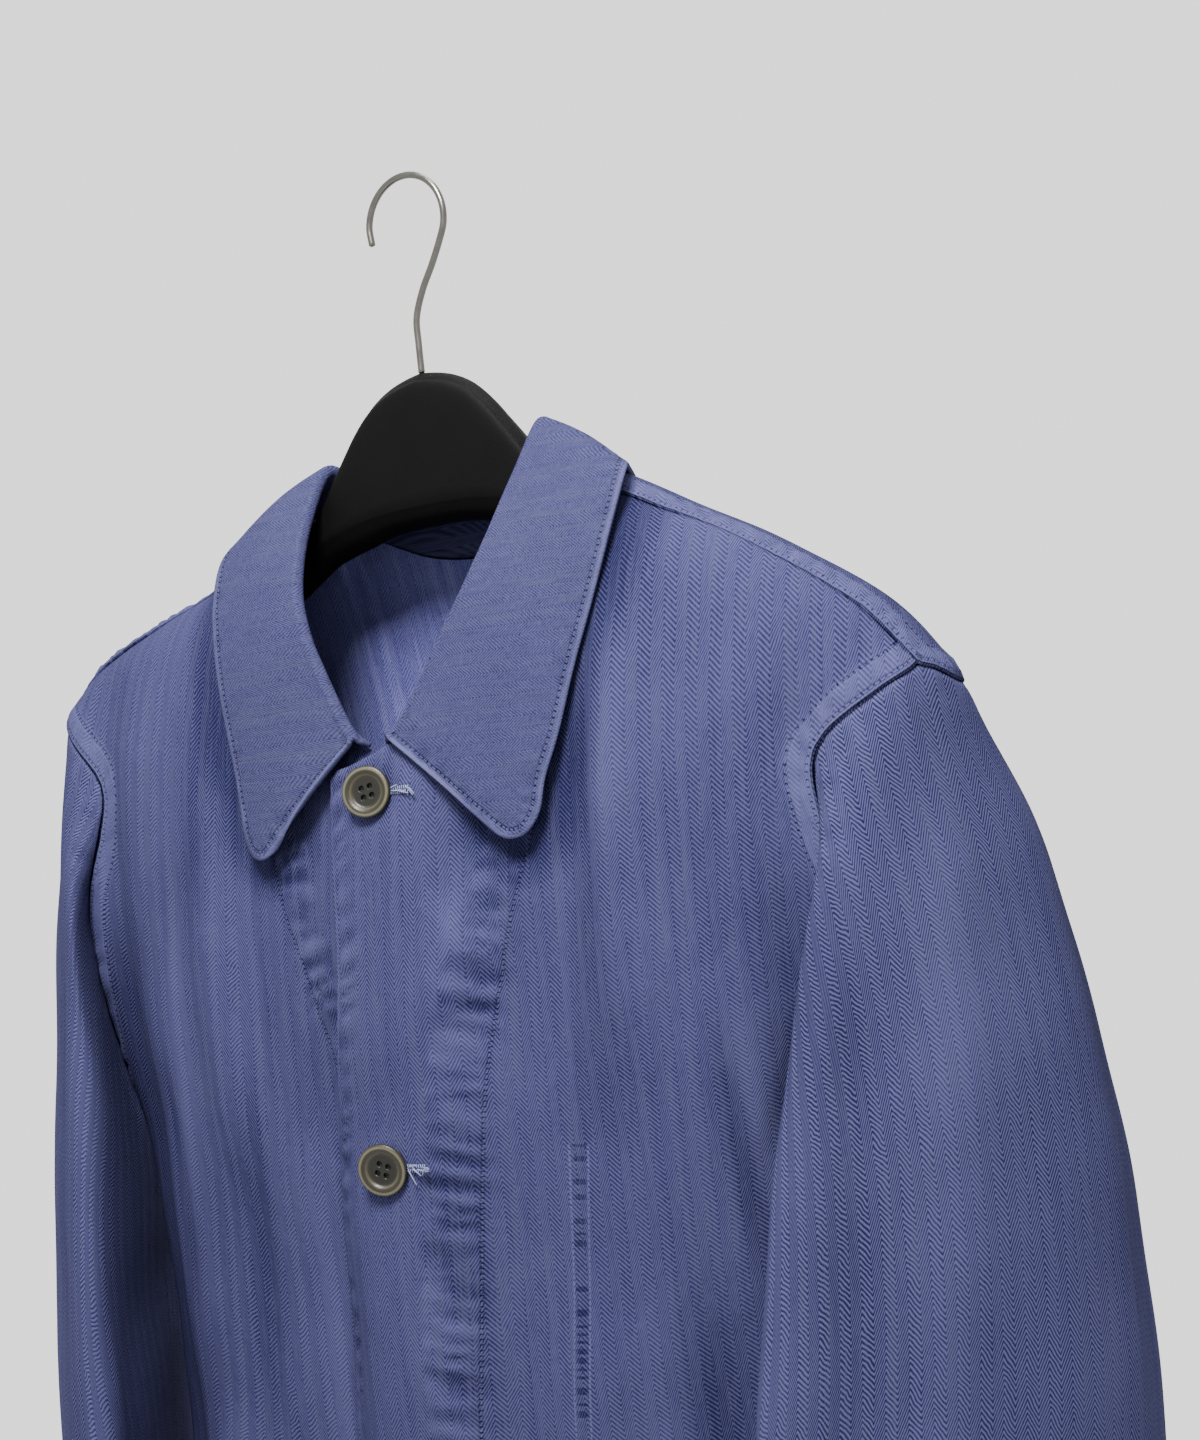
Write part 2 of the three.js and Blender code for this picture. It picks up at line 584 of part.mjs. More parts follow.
function sleeveGeometry(side) {
  const stations = [
    ...armholeFront.map((seam, i) => ({ seam, angle: turnOf(ARMHOLE_FRONT[i]) })),
    ...armholeBack.map((seam, i) => ({ seam, angle: turnOf(ARMHOLE_BACK[i]) })).slice(1, -1).reverse(),
  ];
  // The right sleeve is worked out on the left, turned over and lifted with its shoulder.
  const toLeft = (p) => (side > 0 ? p : mirrored(p));
  const seamPoints = stations.map((s) => toLeft(evenBody(side * s.seam.x, s.seam.z)));
  const seamNormals = stations.map((s) => toLeft(normalOf(evenBody, side * s.seam.x, s.seam.z)));
  const atSeam = sleeveRing(0);
  const rings = SLEEVE_STEPS.map((step) => {
    const ring = sleeveRing(step);
    const hold = clamp01(1 - step / 2) ** 2;
    return stations.map((s, i) =>
      ring(s.angle).addScaledVector(seamPoints[i].clone().sub(atSeam(s.angle)), hold),
    );
  });
  const count = stations.length;
  const normals = rings.map((ring, r) =>
    ring.map((p, i) => {
      const around = ring[(i + 1) % count].clone().sub(ring[(i + count - 1) % count]);
      const next = rings[Math.min(r + 1, rings.length - 1)][i];
      const before = rings[Math.max(r - 1, 0)][i];
      return next.clone().sub(before).cross(around).normalize();
    }),
  );
  const inwards = ringIsInwards(rings[8], normals[8]) ? -1 : 1;
  normals.forEach((row) => row.forEach((n) => n.multiplyScalar(inwards)));
  // At the seam the wall's end turns part of the way from the sleeve's face to the body's.
  const seamMiddle = new THREE.Vector3();
  rings[0].forEach((p) => seamMiddle.addScaledVector(p, 1 / count));
  const seamRing = rings[0].map((p) => p.clone());
  rings[0].forEach((p, i) => {
    const tangent = seamRing[(i + 1) % count].clone().sub(seamRing[(i + count - 1) % count]);
    const off = seamNormals[i].clone().cross(tangent).normalize();
    if (off.dot(seamMiddle.clone().sub(p)) < 0) off.negate();
    const turn = clamp01(1 + normals[1][i].dot(seamNormals[i]));
    normals[0][i].copy(normals[1][i]).addScaledVector(seamNormals[i], turn).normalize();
    p.addScaledVector(off, SEAM_GAP).addScaledVector(seamNormals[i], (1 - turn) * SEAM_GAP);
  });
  const sharp = normals[0].map((n) => n.clone());
  normals[0].forEach((n, i) => {
    n.add(sharp[(i + 1) % count]).add(sharp[(i + count - 1) % count]).normalize();
  });
  const inner = rings.map((ring, r) =>
    ring.map((p, i) => p.clone().addScaledVector(normals[r][i], -WALL)),
  );
  const turned = (grid) => (side > 0 ? grid : grid.map((row) => row.map((p) => lifted(mirrored(p)))));
  return wallGeometry(turned(rings), turned(inner), true);
}

function ringIsInwards(ring, normals) {
  const centre = new THREE.Vector3();
  ring.forEach((p) => centre.addScaledVector(p, 1 / ring.length));
  let sum = 0;
  ring.forEach((p, i) => {
    sum += p.clone().sub(centre).dot(normals[i]);
  });
  return sum < 0;
}

// Collar in one piece: it stands on the neck seam, folds over and falls to its outer edge.
function collarGeometry() {
  const rowOf = (seam, c) => ({
    seam,
    fold: new THREE.Vector3(c.foldX, c.foldY, c.foldZ),
    edge: new THREE.Vector3(c.edgeX, c.edgeY, c.edgeZ),
  });
  const half = [
    ...neckFront.map((p, i) => rowOf(p, COLLAR_FRONT[i])),
    ...neckBack.slice(1).map((p, i) => rowOf(p, COLLAR_BACK[i + 1])),
  ];
  half[0].seam = neckFront[0].clone().lerp(neckFront[1], 0.6);
  const folds = half.map((s) => s.fold);
  const centreBack = half.length - 1;
  const profile = (s, i) => {
    const before = folds[Math.max(0, i - 1)];
    const after = i < centreBack ? folds[i + 1] : mirrored(folds[i - 1]);
    const runs = after.clone().sub(before).normalize();
    const foot = bodySkin(s.seam.x, s.seam.z, -WALL / 2);
    // The foot's end is square to the stand, so a leaning stand starts farther from the seam.
    const seamBefore = half[Math.max(0, i - 1)].seam;
    const acrossMiddle = seamPoint(4 - seamBefore.x, seamBefore.z);
    const seamAfter = i < centreBack ? half[i + 1].seam : acrossMiddle;
    const seamRuns = bodySkin(seamAfter.x, seamAfter.z).sub(bodySkin(seamBefore.x, seamBefore.z));
    const away = normalOf(foldedBody, s.seam.x, s.seam.z).cross(seamRuns).normalize();
    const lean = away.clone().cross(s.fold.clone().sub(foot).normalize()).length();
    foot.addScaledVector(away, SEAM_GAP + (lean * COLLAR_WALL) / 2);
    const down = foot.clone().sub(s.fold).normalize();
    down.add(s.edge.clone().sub(s.fold).normalize());
    down.addScaledVector(runs, -down.dot(runs)).normalize();
    const out = down.clone().cross(runs).normalize();
    const centre = s.fold.clone().addScaledVector(down, FOLD_RADIUS);
    const onFold = (angle) =>
      centre
        .clone()
        .addScaledVector(out, Math.sin(angle) * FOLD_RADIUS)
        .addScaledVector(down, -Math.cos(angle) * FOLD_RADIUS);
    const standTop = onFold(-Math.PI / 2);
    const fallTop = onFold(Math.PI / 2);
    const reach = fallTop.distanceTo(s.edge);
    const fall = [0.3, 0.6, 0.85].map((t) =>
      fallTop.clone().lerp(s.edge, t).addScaledVector(out, Math.sin(Math.PI * t) * reach * COLLAR_BULGE),
    );
    const stand = foot.clone().lerp(standTop, 0.5);
    return [
      foot,
      stand,
      standTop,
      onFold(-Math.PI / 5),
      onFold(Math.PI / 5),
      fallTop,
      ...fall,
      s.edge.clone(),
    ];
  };
  const left = half.map(profile);
  const right = left.slice(0, -1).reverse().map((row) => row.map(mirrored));
  const middle = [...left, ...right];
  const rows = middle.length;
  const columns = middle[0].length;
  const offset = (distance) =>
    middle.map((row, r) =>
      row.map((p, c) => {
        const nearRow = Math.min(rows - 2, Math.max(1, r));
        const lengthways = middle[nearRow + 1][c].clone().sub(middle[nearRow - 1][c]);
        const across = row[Math.min(columns - 1, c + 1)].clone().sub(row[Math.max(0, c - 1)]);
        return p.clone().addScaledVector(lengthways.cross(across).normalize(), distance);
      }),
    );
  return wallGeometry(offset(COLLAR_WALL / 2), offset(-COLLAR_WALL / 2), false);
}

// Four-hole button with a raised rim, made flat on its back and then set on the placket.
function solidOf(geometry) {
  const bare = geometry.index ? geometry.toNonIndexed() : geometry.clone();
  bare.deleteAttribute("normal");
  bare.deleteAttribute("uv");
  const merged = mergeVertices(bare, 1e-4);
  return new wasm.Manifold(
    new wasm.Mesh({
      numProp: 3,
      vertProperties: merged.attributes.position.array,
      triVerts: new Uint32Array(merged.index.array),
    }),
  );
}

function buttonGeometry() {
  const r = BUTTON_RADIUS;
  const t = BUTTON_THICKNESS;
  const profile = [
    [0, 0],
    [r * 0.72, 0],
    [r * 0.95, t * 0.35],
    [r, t * 0.65],
    [r * 0.93, t * 0.97],
    [r * 0.8, t],
    [r * 0.6, t * 0.68],
    [r * 0.45, t * 0.6],
    [0, t * 0.58],
  ].map(([x, y]) => new THREE.Vector2(x, y));
  let solid = solidOf(new THREE.LatheGeometry(profile, 24).rotateX(Math.PI / 2));
  const holeSpread = 1.55;
  for (const [sx, sy] of [[1, 1], [1, -1], [-1, 1], [-1, -1]]) {
    const drill = new THREE.CylinderGeometry(0.9, 0.9, t * 3, 6).rotateX(Math.PI / 2);
    drill.translate(sx * holeSpread, sy * holeSpread, 0);
    solid = solid.subtract(solidOf(drill));
  }
  const mesh = solid.getMesh();
  const geometry = new THREE.BufferGeometry();
  geometry.setAttribute("position", new THREE.Float32BufferAttribute(mesh.vertProperties, 3));
  geometry.setIndex(Array.from(mesh.triVerts));
  return geometry;
}

function buttonOn(z, name) {
  const mesh = finished(name, buttonGeometry(), FINISHES.button);
  const normal = normalOf(foldedBody, 0.02, z);
  mesh.quaternion.setFromUnitVectors(new THREE.Vector3(0, 0, 1), normal);
  mesh.position.copy(bodySkin(0, z, 0)).addScaledVector(normal, 0.5);
  return mesh;
}

function hangerGeometry() {
  const section = (s, x) => {
    const h = s.thick;
    const high = s.crease - s.top;
    const left = [
      [0, s.top],
      [-0.5 * h, s.top + high * 0.045 - 0.6],
      [-0.84 * h, s.top + high * 0.2],
      [-h, s.crease],
      [-0.62 * h, mix(s.crease, s.under, 0.65)],
      [0, s.under],
    ];
    const right = left.slice(1, -1).reverse().map(([y, z]) => [-y, z]);
    return [...left, ...right].map(([y, z]) => new THREE.Vector3(x, y, z));
  };
  const half = HANGER_SECTIONS.map((s) => section(s, s.x));
  const rings = [...half.slice(1).reverse().map((ring) => ring.map(mirrored)), ...half];
  const count = rings[0].length;
  const positions = rings.flat().flatMap((p) => [p.x, p.y, p.z]);
  const index = [];
  for (let r = 0; r < rings.length - 1; r++) {
    for (let c = 0; c < count; c++) {
      const a = r * count + c;
      const b = r * count + ((c + 1) % count);
      index.push(a, b, b + count, a, b + count, a + count);
    }
  }
  for (let c = 1; c < count - 1; c++) {
    const last = (rings.length - 1) * count;
    index.push(0, c + 1, c, last, last + c, last + c + 1);
  }
  return facingOut(positions, index);
}

// Wire hook: a stem, a side bend, then the crook over the origin with its tip at the left.
function hookGeometry() {
  const centre = new THREE.Vector3(0, 0, -(CROOK_RADIUS - WIRE_RADIUS));
  const onCrook = (degrees) => {
    const a = THREE.MathUtils.degToRad(degrees);
    return new THREE.Vector3(Math.cos(a), 0, Math.sin(a)).multiplyScalar(CROOK_RADIUS).add(centre);
  };
  const points = [
    new THREE.Vector3(0, 0, NECK_TOP_Z + 0.3),
    new THREE.Vector3(0, 0, NECK_TOP_Z + 13),
    new THREE.Vector3(0.4, 0, NECK_TOP_Z + 24),
    new THREE.Vector3(5, 0, NECK_TOP_Z + 35),
    new THREE.Vector3(11.5, 0, NECK_TOP_Z + 45),
  ];
  for (let degrees = -35; degrees <= 195; degrees += 23) points.push(onCrook(degrees));
  const path = new THREE.CatmullRomCurve3(points, false, "centripetal");
  const circle = new THREE.Shape().absarc(0, 0, WIRE_RADIUS, 0, Math.PI * 2);
  return new THREE.ExtrudeGeometry(circle, {
    steps: 40,
    curveSegments: 5,
    extrudePath: path,
    bevelEnabled: false,
  });
}

const jacket = new THREE.Group();
jacket.position.z = NECK_TOP_Z;
jacket.add(finished("front_left", frontPanel(1), FINISHES.body));
jacket.add(finished("front_right", frontPanel(-1), FINISHES.body));
jacket.add(finished("back", backPanel(), FINISHES.body));
jacket.add(finished("sleeve_left", sleeveGeometry(1), FINISHES.sleeve));
jacket.add(finished("sleeve_right", sleeveGeometry(-1), FINISHES.sleeve));
jacket.add(finished("collar", collarGeometry(), FINISHES.collar));
BUTTON_HEIGHTS.forEach((z, i) => jacket.add(buttonOn(z, `button_${i + 1}`)));
jacket.add(finished("hanger_body", hangerGeometry(), FINISHES.hanger));

const group = new THREE.Group();
group.add(jacket);
group.add(finished("hanger_hook", hookGeometry(), FINISHES.wire));

export default group;
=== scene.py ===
# Chore jacket on its hanger: the cloth, sewing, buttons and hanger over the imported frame.
# Sizes in the tables are millimetres, and heights there are measured from the hanger's neck.
import math

import bmesh
import bpy
import numpy as np
from bpy.props import FloatProperty, FloatVectorProperty, PointerProperty
from mathutils import Matrix, Vector


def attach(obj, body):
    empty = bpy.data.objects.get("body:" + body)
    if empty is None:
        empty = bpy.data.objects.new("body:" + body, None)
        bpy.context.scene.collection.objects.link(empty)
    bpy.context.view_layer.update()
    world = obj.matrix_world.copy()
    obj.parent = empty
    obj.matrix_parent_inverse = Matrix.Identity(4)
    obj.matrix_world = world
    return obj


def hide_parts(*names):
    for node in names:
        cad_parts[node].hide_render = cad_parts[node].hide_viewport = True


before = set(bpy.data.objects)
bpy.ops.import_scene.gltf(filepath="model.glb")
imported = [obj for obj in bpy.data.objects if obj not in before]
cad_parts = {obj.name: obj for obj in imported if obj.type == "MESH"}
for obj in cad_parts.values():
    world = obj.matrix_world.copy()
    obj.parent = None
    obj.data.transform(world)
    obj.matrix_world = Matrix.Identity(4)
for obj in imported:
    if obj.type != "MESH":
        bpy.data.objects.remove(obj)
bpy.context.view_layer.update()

bl_info = {
    "name": "Chore jacket on a hanger",
    "version": (1, 0, 0),
    "blender": (4, 5, 0),
    "location": "View3D > Sidebar > Jacket",
    "description": "Builds the cloth, sewing, buttons and hanger of a hung chore jacket",
    "category": "Add Mesh",
}

NECK_TOP_Z = -85
WALL = 1.5
COLLAR_WALL = 2
SEAM_GAP = 0.5
FRONT_OVERLAP = 25
OVERLAP_GAP = 1.6
PLACKET_LIFT = 0.9
UNDERARM_Z = -340
HEM_Z = -795
MIDDLE_Y = 3
EVENNESS = 0.5
FOLD_RADIUS = 1.7
COLLAR_BULGE = 0.045
HEM_ROW = 24.0
FELLED_ROWS = (2.2, 11.0)
SLEEVE_SEAM_ROWS = (2.0, 8.4)
COLLAR_ROW = 3.2
FACING_STITCH = 2.1
POCKET_ROW = 3.5
POCKET_STITCH = 2.4
SEAM_ALLOWANCE = 12.5
BUTTON_HEIGHTS = (-179, -328, -478, -628)
WIRE_RADIUS = 1.5
CROOK_RADIUS = 20.5
SHOULDER_COLUMNS = 8
SIDE_ROWS = 9
TOP_FADE = 1.6
RIDGE_ROW = 2
NECK_ROW_DROP = 7
NECK_ROW_SPREAD = 1.04
SEAM_END_STATION = 2
# How finely each stretch of a panel is divided: across it, then down it.
FRONT_STEPS = ((6, 5, 6), (9, 17))
BACK_STEPS = ((6, 6, 6), (6, 15))
UP = np.array([0, 0, 1.0])
MIRROR = np.array([-1, 1, 1])
# Stands for a seam that is nowhere near.
FAR = 3000.0
GIRTH_STEP = 0.004
HEIGHT_STEP = 0.8


def table(names, rows):
    """Named columns of a table of numbers; the first column is the place that the rest belong to."""
    return dict(zip(names.split(), np.array(rows, float).T))


BODY = table("z width front back square_front square_back", [
    (-44, 54, 13, 9, 2, 2), (-52.5, 79, 20, 15, 2, 2), (-63, 102, 28, 20, 2.1, 2),
    (-79, 130, 37, 27, 2.2, 2), (-92, 155, 39.5, 30, 2.3, 2.1), (-102, 171, 41, 33, 2.4, 2.2),
    (-124, 203, 43.5, 37, 2.6, 2.3), (-142, 219, 46.5, 40, 2.8, 2.4), (-162, 231, 50, 42, 3, 2.5),
    (-200, 233, 55, 46, 3.2, 2.6), (-260, 219, 59.5, 50, 3.2, 2.7), (-340, 196, 61, 53, 2.9, 2.8),
    (-430, 185, 62, 54, 2.7, 2.8), (-560, 184, 64, 55, 2.7, 2.8), (-700, 189, 66, 55, 2.7, 2.8),
    (-800, 195, 67, 55, 2.8, 2.8),
])
SHOULDER = {name: column[:10] for name, column in BODY.items()}

# The placket's layers stand forward of the chest in a soft crest.
CREST = table("z rise", [
    (-95, 0), (-120, 2), (-136, 4.5), (-150, 7.4), (-161, 10), (-179, 13.5), (-250, 16.5),
    (-328, 19), (-430, 21), (-560, 19), (-800, 11),
])
CREST_REACH = 35
CREST_SHARPNESS = 3.4

# How far the left front's edge lies past the centre: the placket swings to the wearer's right.
PLACKET = table("z past", [
    (-150, 24), (-185, 23.5), (-221, 20.8), (-261, 21.5), (-304, 29), (-332, 33), (-368, 37.5),
    (-410, 42), (-448, 45), (-560, 46), (-800, 41),
])
# Stitch line of the facing inside each front.
FACING_LEFT = table("z x", [
    (-150, 84), (-180, 75), (-205, 67.5), (-242, 55.1), (-278, 45.4), (-299, 40.8), (-335, 36.6),
    (-366, 34.2), (-400, 31.6), (-435, 29), (-560, 24), (-800, 28),
])
FACING_RIGHT = table("z x", [
    (-150, 80), (-180, 73), (-202, 66.6), (-227, 61.5), (-249, 52.8), (-270, 45.2), (-288, 39.8),
    (-308, 38.6), (-340, 38.6), (-800, 38.6),
])
# Middle and half width of the double stitch that holds the inside pocket.
POCKET_TOP_Z = -322
POCKET = table("z x half", [
    (-300, 79.6, 4.2), (-322, 78.7, 4.2), (-363, 75.2, 3.6), (-401, 72.5, 3.3), (-435, 70, 3.1),
    (-560, 64, 3.1),
])

# Folds: side of the body, place at the top and bottom, heights, half width, rise.
FOLDS = [
    ("front", 118, 88, -75, -330, 13, 5), ("front", 98, 72, -120, -320, 12, -3),
    ("front", 190, 142, -105, -640, 15, -7), ("front", 204, 178, -105, -260, 10, 2.5),
    ("front", 74, 0, -190, -305, 15, 3.5), ("front", 64, 56, -350, -860, 22, 4),
    ("front", 104, 118, -400, -860, 20, -5), ("front", -122, -92, -80, -380, 14, 4.5),
    ("front", -98, -76, -130, -340, 13, -2.5), ("front", -188, -146, -105, -700, 16, -7),
    ("front", -58, -70, -330, -860, 20, -3.5), ("front", -112, -100, -430, -860, 23, 5),
    ("back", 166, 150, -120, -860, 17, -6), ("back", 112, 92, -230, -860, 21, 5),
    ("back", 48, 54, -300, -860, 22, -5), ("back", -164, -156, -125, -860, 17, -6),
    ("back", -104, -110, -260, -860, 23, 5), ("back", -38, -26, -340, -860, 20, -4),
]
FOLD_END = 70
FOLD_ROOT = 22
# The body's right side is a little fuller: how much, and from where it grows over what width.
FULLER = {"by": 8, "from_x": 70, "over_x": 90, "below": 300, "over_z": 140}
SHOULDER_LIFT = {"rise": 26, "from": 115, "over": 115, "top": -230, "bottom": -400}

NECK_SEAM_FRONT = [
    (0, -163), (8, -159), (18, -152.5), (28, -143), (38, -133), (52, -120), (64, -105), (70, -90),
    (72.5, -74), (72.5, -58),
]
NECK_SEAM_BACK = [(69, -50.6), (60, -58), (44, -68), (23, -76.5), (0, -79.5)]
OVERLAP_CORNER_Z = -170

# Collar: fold line and outer edge that belong to each point of the neck seam.
COLLAR_FRONT = [
    (8.5, -61, -156.5, 55, -60, -196), (12, -57.5, -154, 63, -60, -202),
    (18, -55.5, -145.5, 71, -58.5, -201), (24, -53.5, -136, 77, -56, -193),
    (30, -51.5, -125.5, 80, -54, -180), (38.5, -47.8, -110.5, 85.5, -49.5, -163),
    (47, -40.6, -92, 93, -45, -138), (53, -29.4, -72, 100.3, -39, -114),
    (56.8, -15.4, -52, 106.4, -30, -86.5), (58, 0, -33, 107.5, -16.6, -64),
]
COLLAR_BACK = [
    (54, 10, -35, 97.5, 3, -58.2), (45, 17, -39, 90, 21.5, -69.7), (31, 21.5, -41.5, 73, 32.5, -88),
    (16, 23.5, -43.5, 40, 39.5, -101), (0, 24, -44, 0, 42, -106),
]

ARMHOLE_FRONT = [
    (3, -160), (-7, -156), (-15, -153), (-28, -162), (-38.5, -179), (-41, -205), (-38, -240),
    (-33, -275), (-23, -305), (-10, -330), (3, UNDERARM_Z),
]
ARMHOLE_BACK = [
    (3, -160), (15, -161.5), (26, -167), (36, -182), (42, -207), (42, -242), (37, -277),
    (28, -307), (16, -330), (3, UNDERARM_Z),
]
ARMHOLE_MIDDLE = {"z": -240, "above": 80, "below": 100, "half": 43}

# Sleeve rings: outermost, front, innermost and rear point of each.
SLEEVE_RINGS = np.array([
    [(230, 3, -160), (193, -42, -240), (196, 3, -340), (211, 44, -242)],
    [(235.5, 3, -187), (184, -60, -258), (201, 3, -346), (219, 53, -250)],
    [(243, 2, -222), (178, -69, -298), (203, 2, -357), (226, 56, -282)],
    [(249, 0, -262), (174, -78, -338), (203, 0, -374), (234, 57, -318)],
    [(255, -5, -315), (171, -87, -380), (202, -5, -398), (241, 56, -362)],
    [(256, -11, -378), (168, -95, -428), (199, -10, -432), (246, 52, -416)],
    [(252, -20, -455), (165, -102, -485), (198, -15, -483), (249, 46, -480)],
    [(245, -34, -550), (166, -106, -560), (198, -25, -558), (250, 33, -560)],
    [(241, -46, -655), (170, -109, -660), (199, -35, -660), (247, 14, -660)],
    [(240, -56, -757), (175, -112, -757), (201, -46, -757), (243, -2, -757)],
], float)

HANGER = table("x top crease under thick", [
    (0, 0, -58, -67, 9), (10, -1.8, -58, -67, 9), (18, -5.2, -58.4, -67.5, 9),
    (28, -12, -59, -69, 9), (36, -20, -60.2, -71, 9), (43, -29, -61.5, -72.5, 9),
    (51, -40, -63.5, -74.5, 9), (59, -51.5, -66, -77, 9), (68, -60, -70.5, -82, 9),
    (85, -67, -79, -91, 9), (105, -73.5, -86, -98, 9), (130, -84.2, -99, -111, 9.5),
    (155, -95.4, -111, -123, 10.5), (180, -110.5, -126, -138, 11), (197, -123.9, -136, -146, 10.5),
    (205, -132.3, -140, -144, 6),
])


def smooth(v):
    """Eases from 0 to 1."""
    v = np.clip(v, 0, 1)
    return v * v * (3 - 2 * v)


def along(columns, key, at, name):
    """Value of one column at places along another, on a smooth curve."""
    keys, values = columns[key], columns[name]
    if keys[0] > keys[-1]:
        keys, values = keys[::-1], values[::-1]
    number = np.arange(len(keys))
    after = np.minimum(number + 1, len(keys) - 1)
    before = np.maximum(number - 1, 0)
    slope = (values[after] - values[before]) / (keys[after] - keys[before])
    i = np.clip(np.searchsorted(keys, at, side="right") - 1, 0, len(keys) - 2)
    span = keys[i + 1] - keys[i]
    t = np.clip((at - keys[i]) / span, 0, 1)
    u = 1 - t
    ends = values[i] * (1 + 2 * t) * u * u + values[i + 1] * t * t * (3 - 2 * t)
    return ends + slope[i] * span * t * u * u - slope[i + 1] * span * t * t * u


def curve_through(points, at):
    """Points of a smooth curve through a list of points, at fractional places in the list."""
    points = np.asarray(points, float)
    ends = [2 * points[:1] - points[1:2], points, 2 * points[-1:] - points[-2:-1]]
    held = np.concatenate(ends)
    i = np.clip(np.floor(at).astype(int), 0, len(points) - 2)
    t = (np.asarray(at) - i).reshape((-1,) + (1,) * (points.ndim - 1))
    a, b, c, d = held[i], held[i + 1], held[i + 2], held[i + 3]
    bend = (2 * a - 5 * b + 4 * c - d) * t * t + (3 * b - a - 3 * c + d) * t ** 3
    return 0.5 * (2 * b + (c - a) * t + bend)


def finer(points, breaks, steps):
    """A list of points made finer, with a corner left at each break."""
    parts = []
    for first, last, count in zip(breaks[:-1], breaks[1:], steps):
        at = np.linspace(0, last - first, (last - first) * count + 1)
        part = curve_through(points[first:last + 1], at)
        parts.append(part if last == breaks[-1] else part[:-1])
    return np.concatenate(parts)


def quarter(share, square):
    """A quarter of a rounded rectangle, from the middle of its face to its side."""
    angle = share * (1 - EVENNESS + EVENNESS * share) * math.pi / 2
    s, c = np.abs(np.sin(angle)), np.abs(np.cos(angle))
    r = (s ** square + c ** square) ** (-1 / square)
    return s * r, c * r


def share_of(across, square):
    """The share along a quarter that belongs to a place across it."""
    deep = np.maximum(0, 1 - across ** square) ** (1 / square)
    g = np.arctan2(across, deep) / (math.pi / 2)
    b = 1 - EVENNESS
    return (np.sqrt(b * b + 4 * EVENNESS * g) - b) / (2 * EVENNESS)


def plain_body(girth, z):
    """The body without folds: 0 is the centre front, 1 the left side and 2 the centre back."""
    girth, z = np.broadcast_arrays(np.asarray(girth, float), np.asarray(z, float))
    w = girth - 4 * np.floor((girth + 2) / 4)
    on_front = np.abs(w) <= 1
    share = np.where(on_front, np.abs(w), 2 - np.abs(w))
    square = np.where(
        on_front, along(BODY, "z", z, "square_front"), along(BODY, "z", z, "square_back")
    )
    deep = np.where(on_front, -along(BODY, "z", z, "front"), along(BODY, "z", z, "back"))
    s, c = quarter(share, square)
    x = np.where(w < 0, -1, 1) * s * along(BODY, "z", z, "width")
    return np.stack([x, MIDDLE_Y + c * deep, z], -1)


def unit(v):
    return v / np.maximum(np.linalg.norm(v, axis=-1, keepdims=True), 1e-12)


def normal_of(surface, girth, z):
    """Outward direction of a surface that is given by girth and height."""
    across = surface(girth + GIRTH_STEP, z) - surface(girth - GIRTH_STEP, z)
    up = surface(girth, z + HEIGHT_STEP) - surface(girth, z - HEIGHT_STEP)
    return unit(np.cross(across, up))


def fold_rise(p):
    """How far the large folds push each point outwards."""
    rise = np.zeros(p.shape[:-1])
    for face, x, end_x, top, bottom, width, height in FOLDS:
        side = p[..., 1] < MIDDLE_Y if face == "front" else p[..., 1] >= MIDDLE_Y
        z = p[..., 2]
        line = x + (end_x - x) * (top - z) / (top - bottom)
        ends = smooth((top - z) / FOLD_END) * smooth((z - bottom) / FOLD_END)
        rise += side * height * ends * np.exp(-(((p[..., 0] - line) / width) ** 2))
    return rise * smooth(np.abs(p[..., 1] - MIDDLE_Y) / FOLD_ROOT)


def lifted(p):
    """The wearer's right shoulder sits higher on the hanger."""
    outwards = smooth((-p[..., 0] - SHOULDER_LIFT["from"]) / SHOULDER_LIFT["over"])
    span = SHOULDER_LIFT["top"] - SHOULDER_LIFT["bottom"]
    up = smooth((p[..., 2] - SHOULDER_LIFT["bottom"]) / span)
    out = p.copy()
    out[..., 2] += SHOULDER_LIFT["rise"] * outwards * up
    return out


def even_body(girth, z):
    """The body with its folds and the placket's crest, before a shoulder is lifted."""
    p = plain_body(girth, z)
    crest = along(CREST, "z", p[..., 2], "rise")
    reach = np.exp(-((np.abs(p[..., 0]) / CREST_REACH) ** CREST_SHARPNESS))
    rise = fold_rise(p)[..., None] * normal_of(plain_body, girth, z)
    p = p + rise
    p[..., 1] -= np.where(p[..., 1] < MIDDLE_Y, crest * reach, 0)
    return p


def folded_body(girth, z):
    return lifted(even_body(girth, z))


def skin(girth, z, out=0.0):
    """Points of the cloth, pushed outwards by a distance."""
    girth, z = np.asarray(girth, float), np.asarray(z, float)
    p = folded_body(girth, z) + normal_of(folded_body, girth, z) * np.asarray(out)[..., None]
    outwards = smooth((-p[..., 0] - FULLER["from_x"]) / FULLER["over_x"])
    downwards = smooth((-p[..., 2] - FULLER["below"]) / FULLER["over_z"])
    p[..., 0] -= FULLER["by"] * outwards * downwards
    return p


def girth_at_x(x, z, is_back):
    across = np.minimum(1, np.abs(x) / along(BODY, "z", z, "width"))
    share = share_of(across, along(BODY, "z", z, "square_back" if is_back else "square_front"))
    return (2 - share if is_back else share) * (-1 if x < 0 else 1)


def girth_at_y(y, z):
    is_back = y > MIDDLE_Y
    deep = abs(y - MIDDLE_Y) / along(BODY, "z", z, "back" if is_back else "front")
    square = along(BODY, "z", z, "square_back" if is_back else "square_front")
    share = share_of((1 - deep ** square) ** (1 / square), square)
    return 2 - share if is_back else share


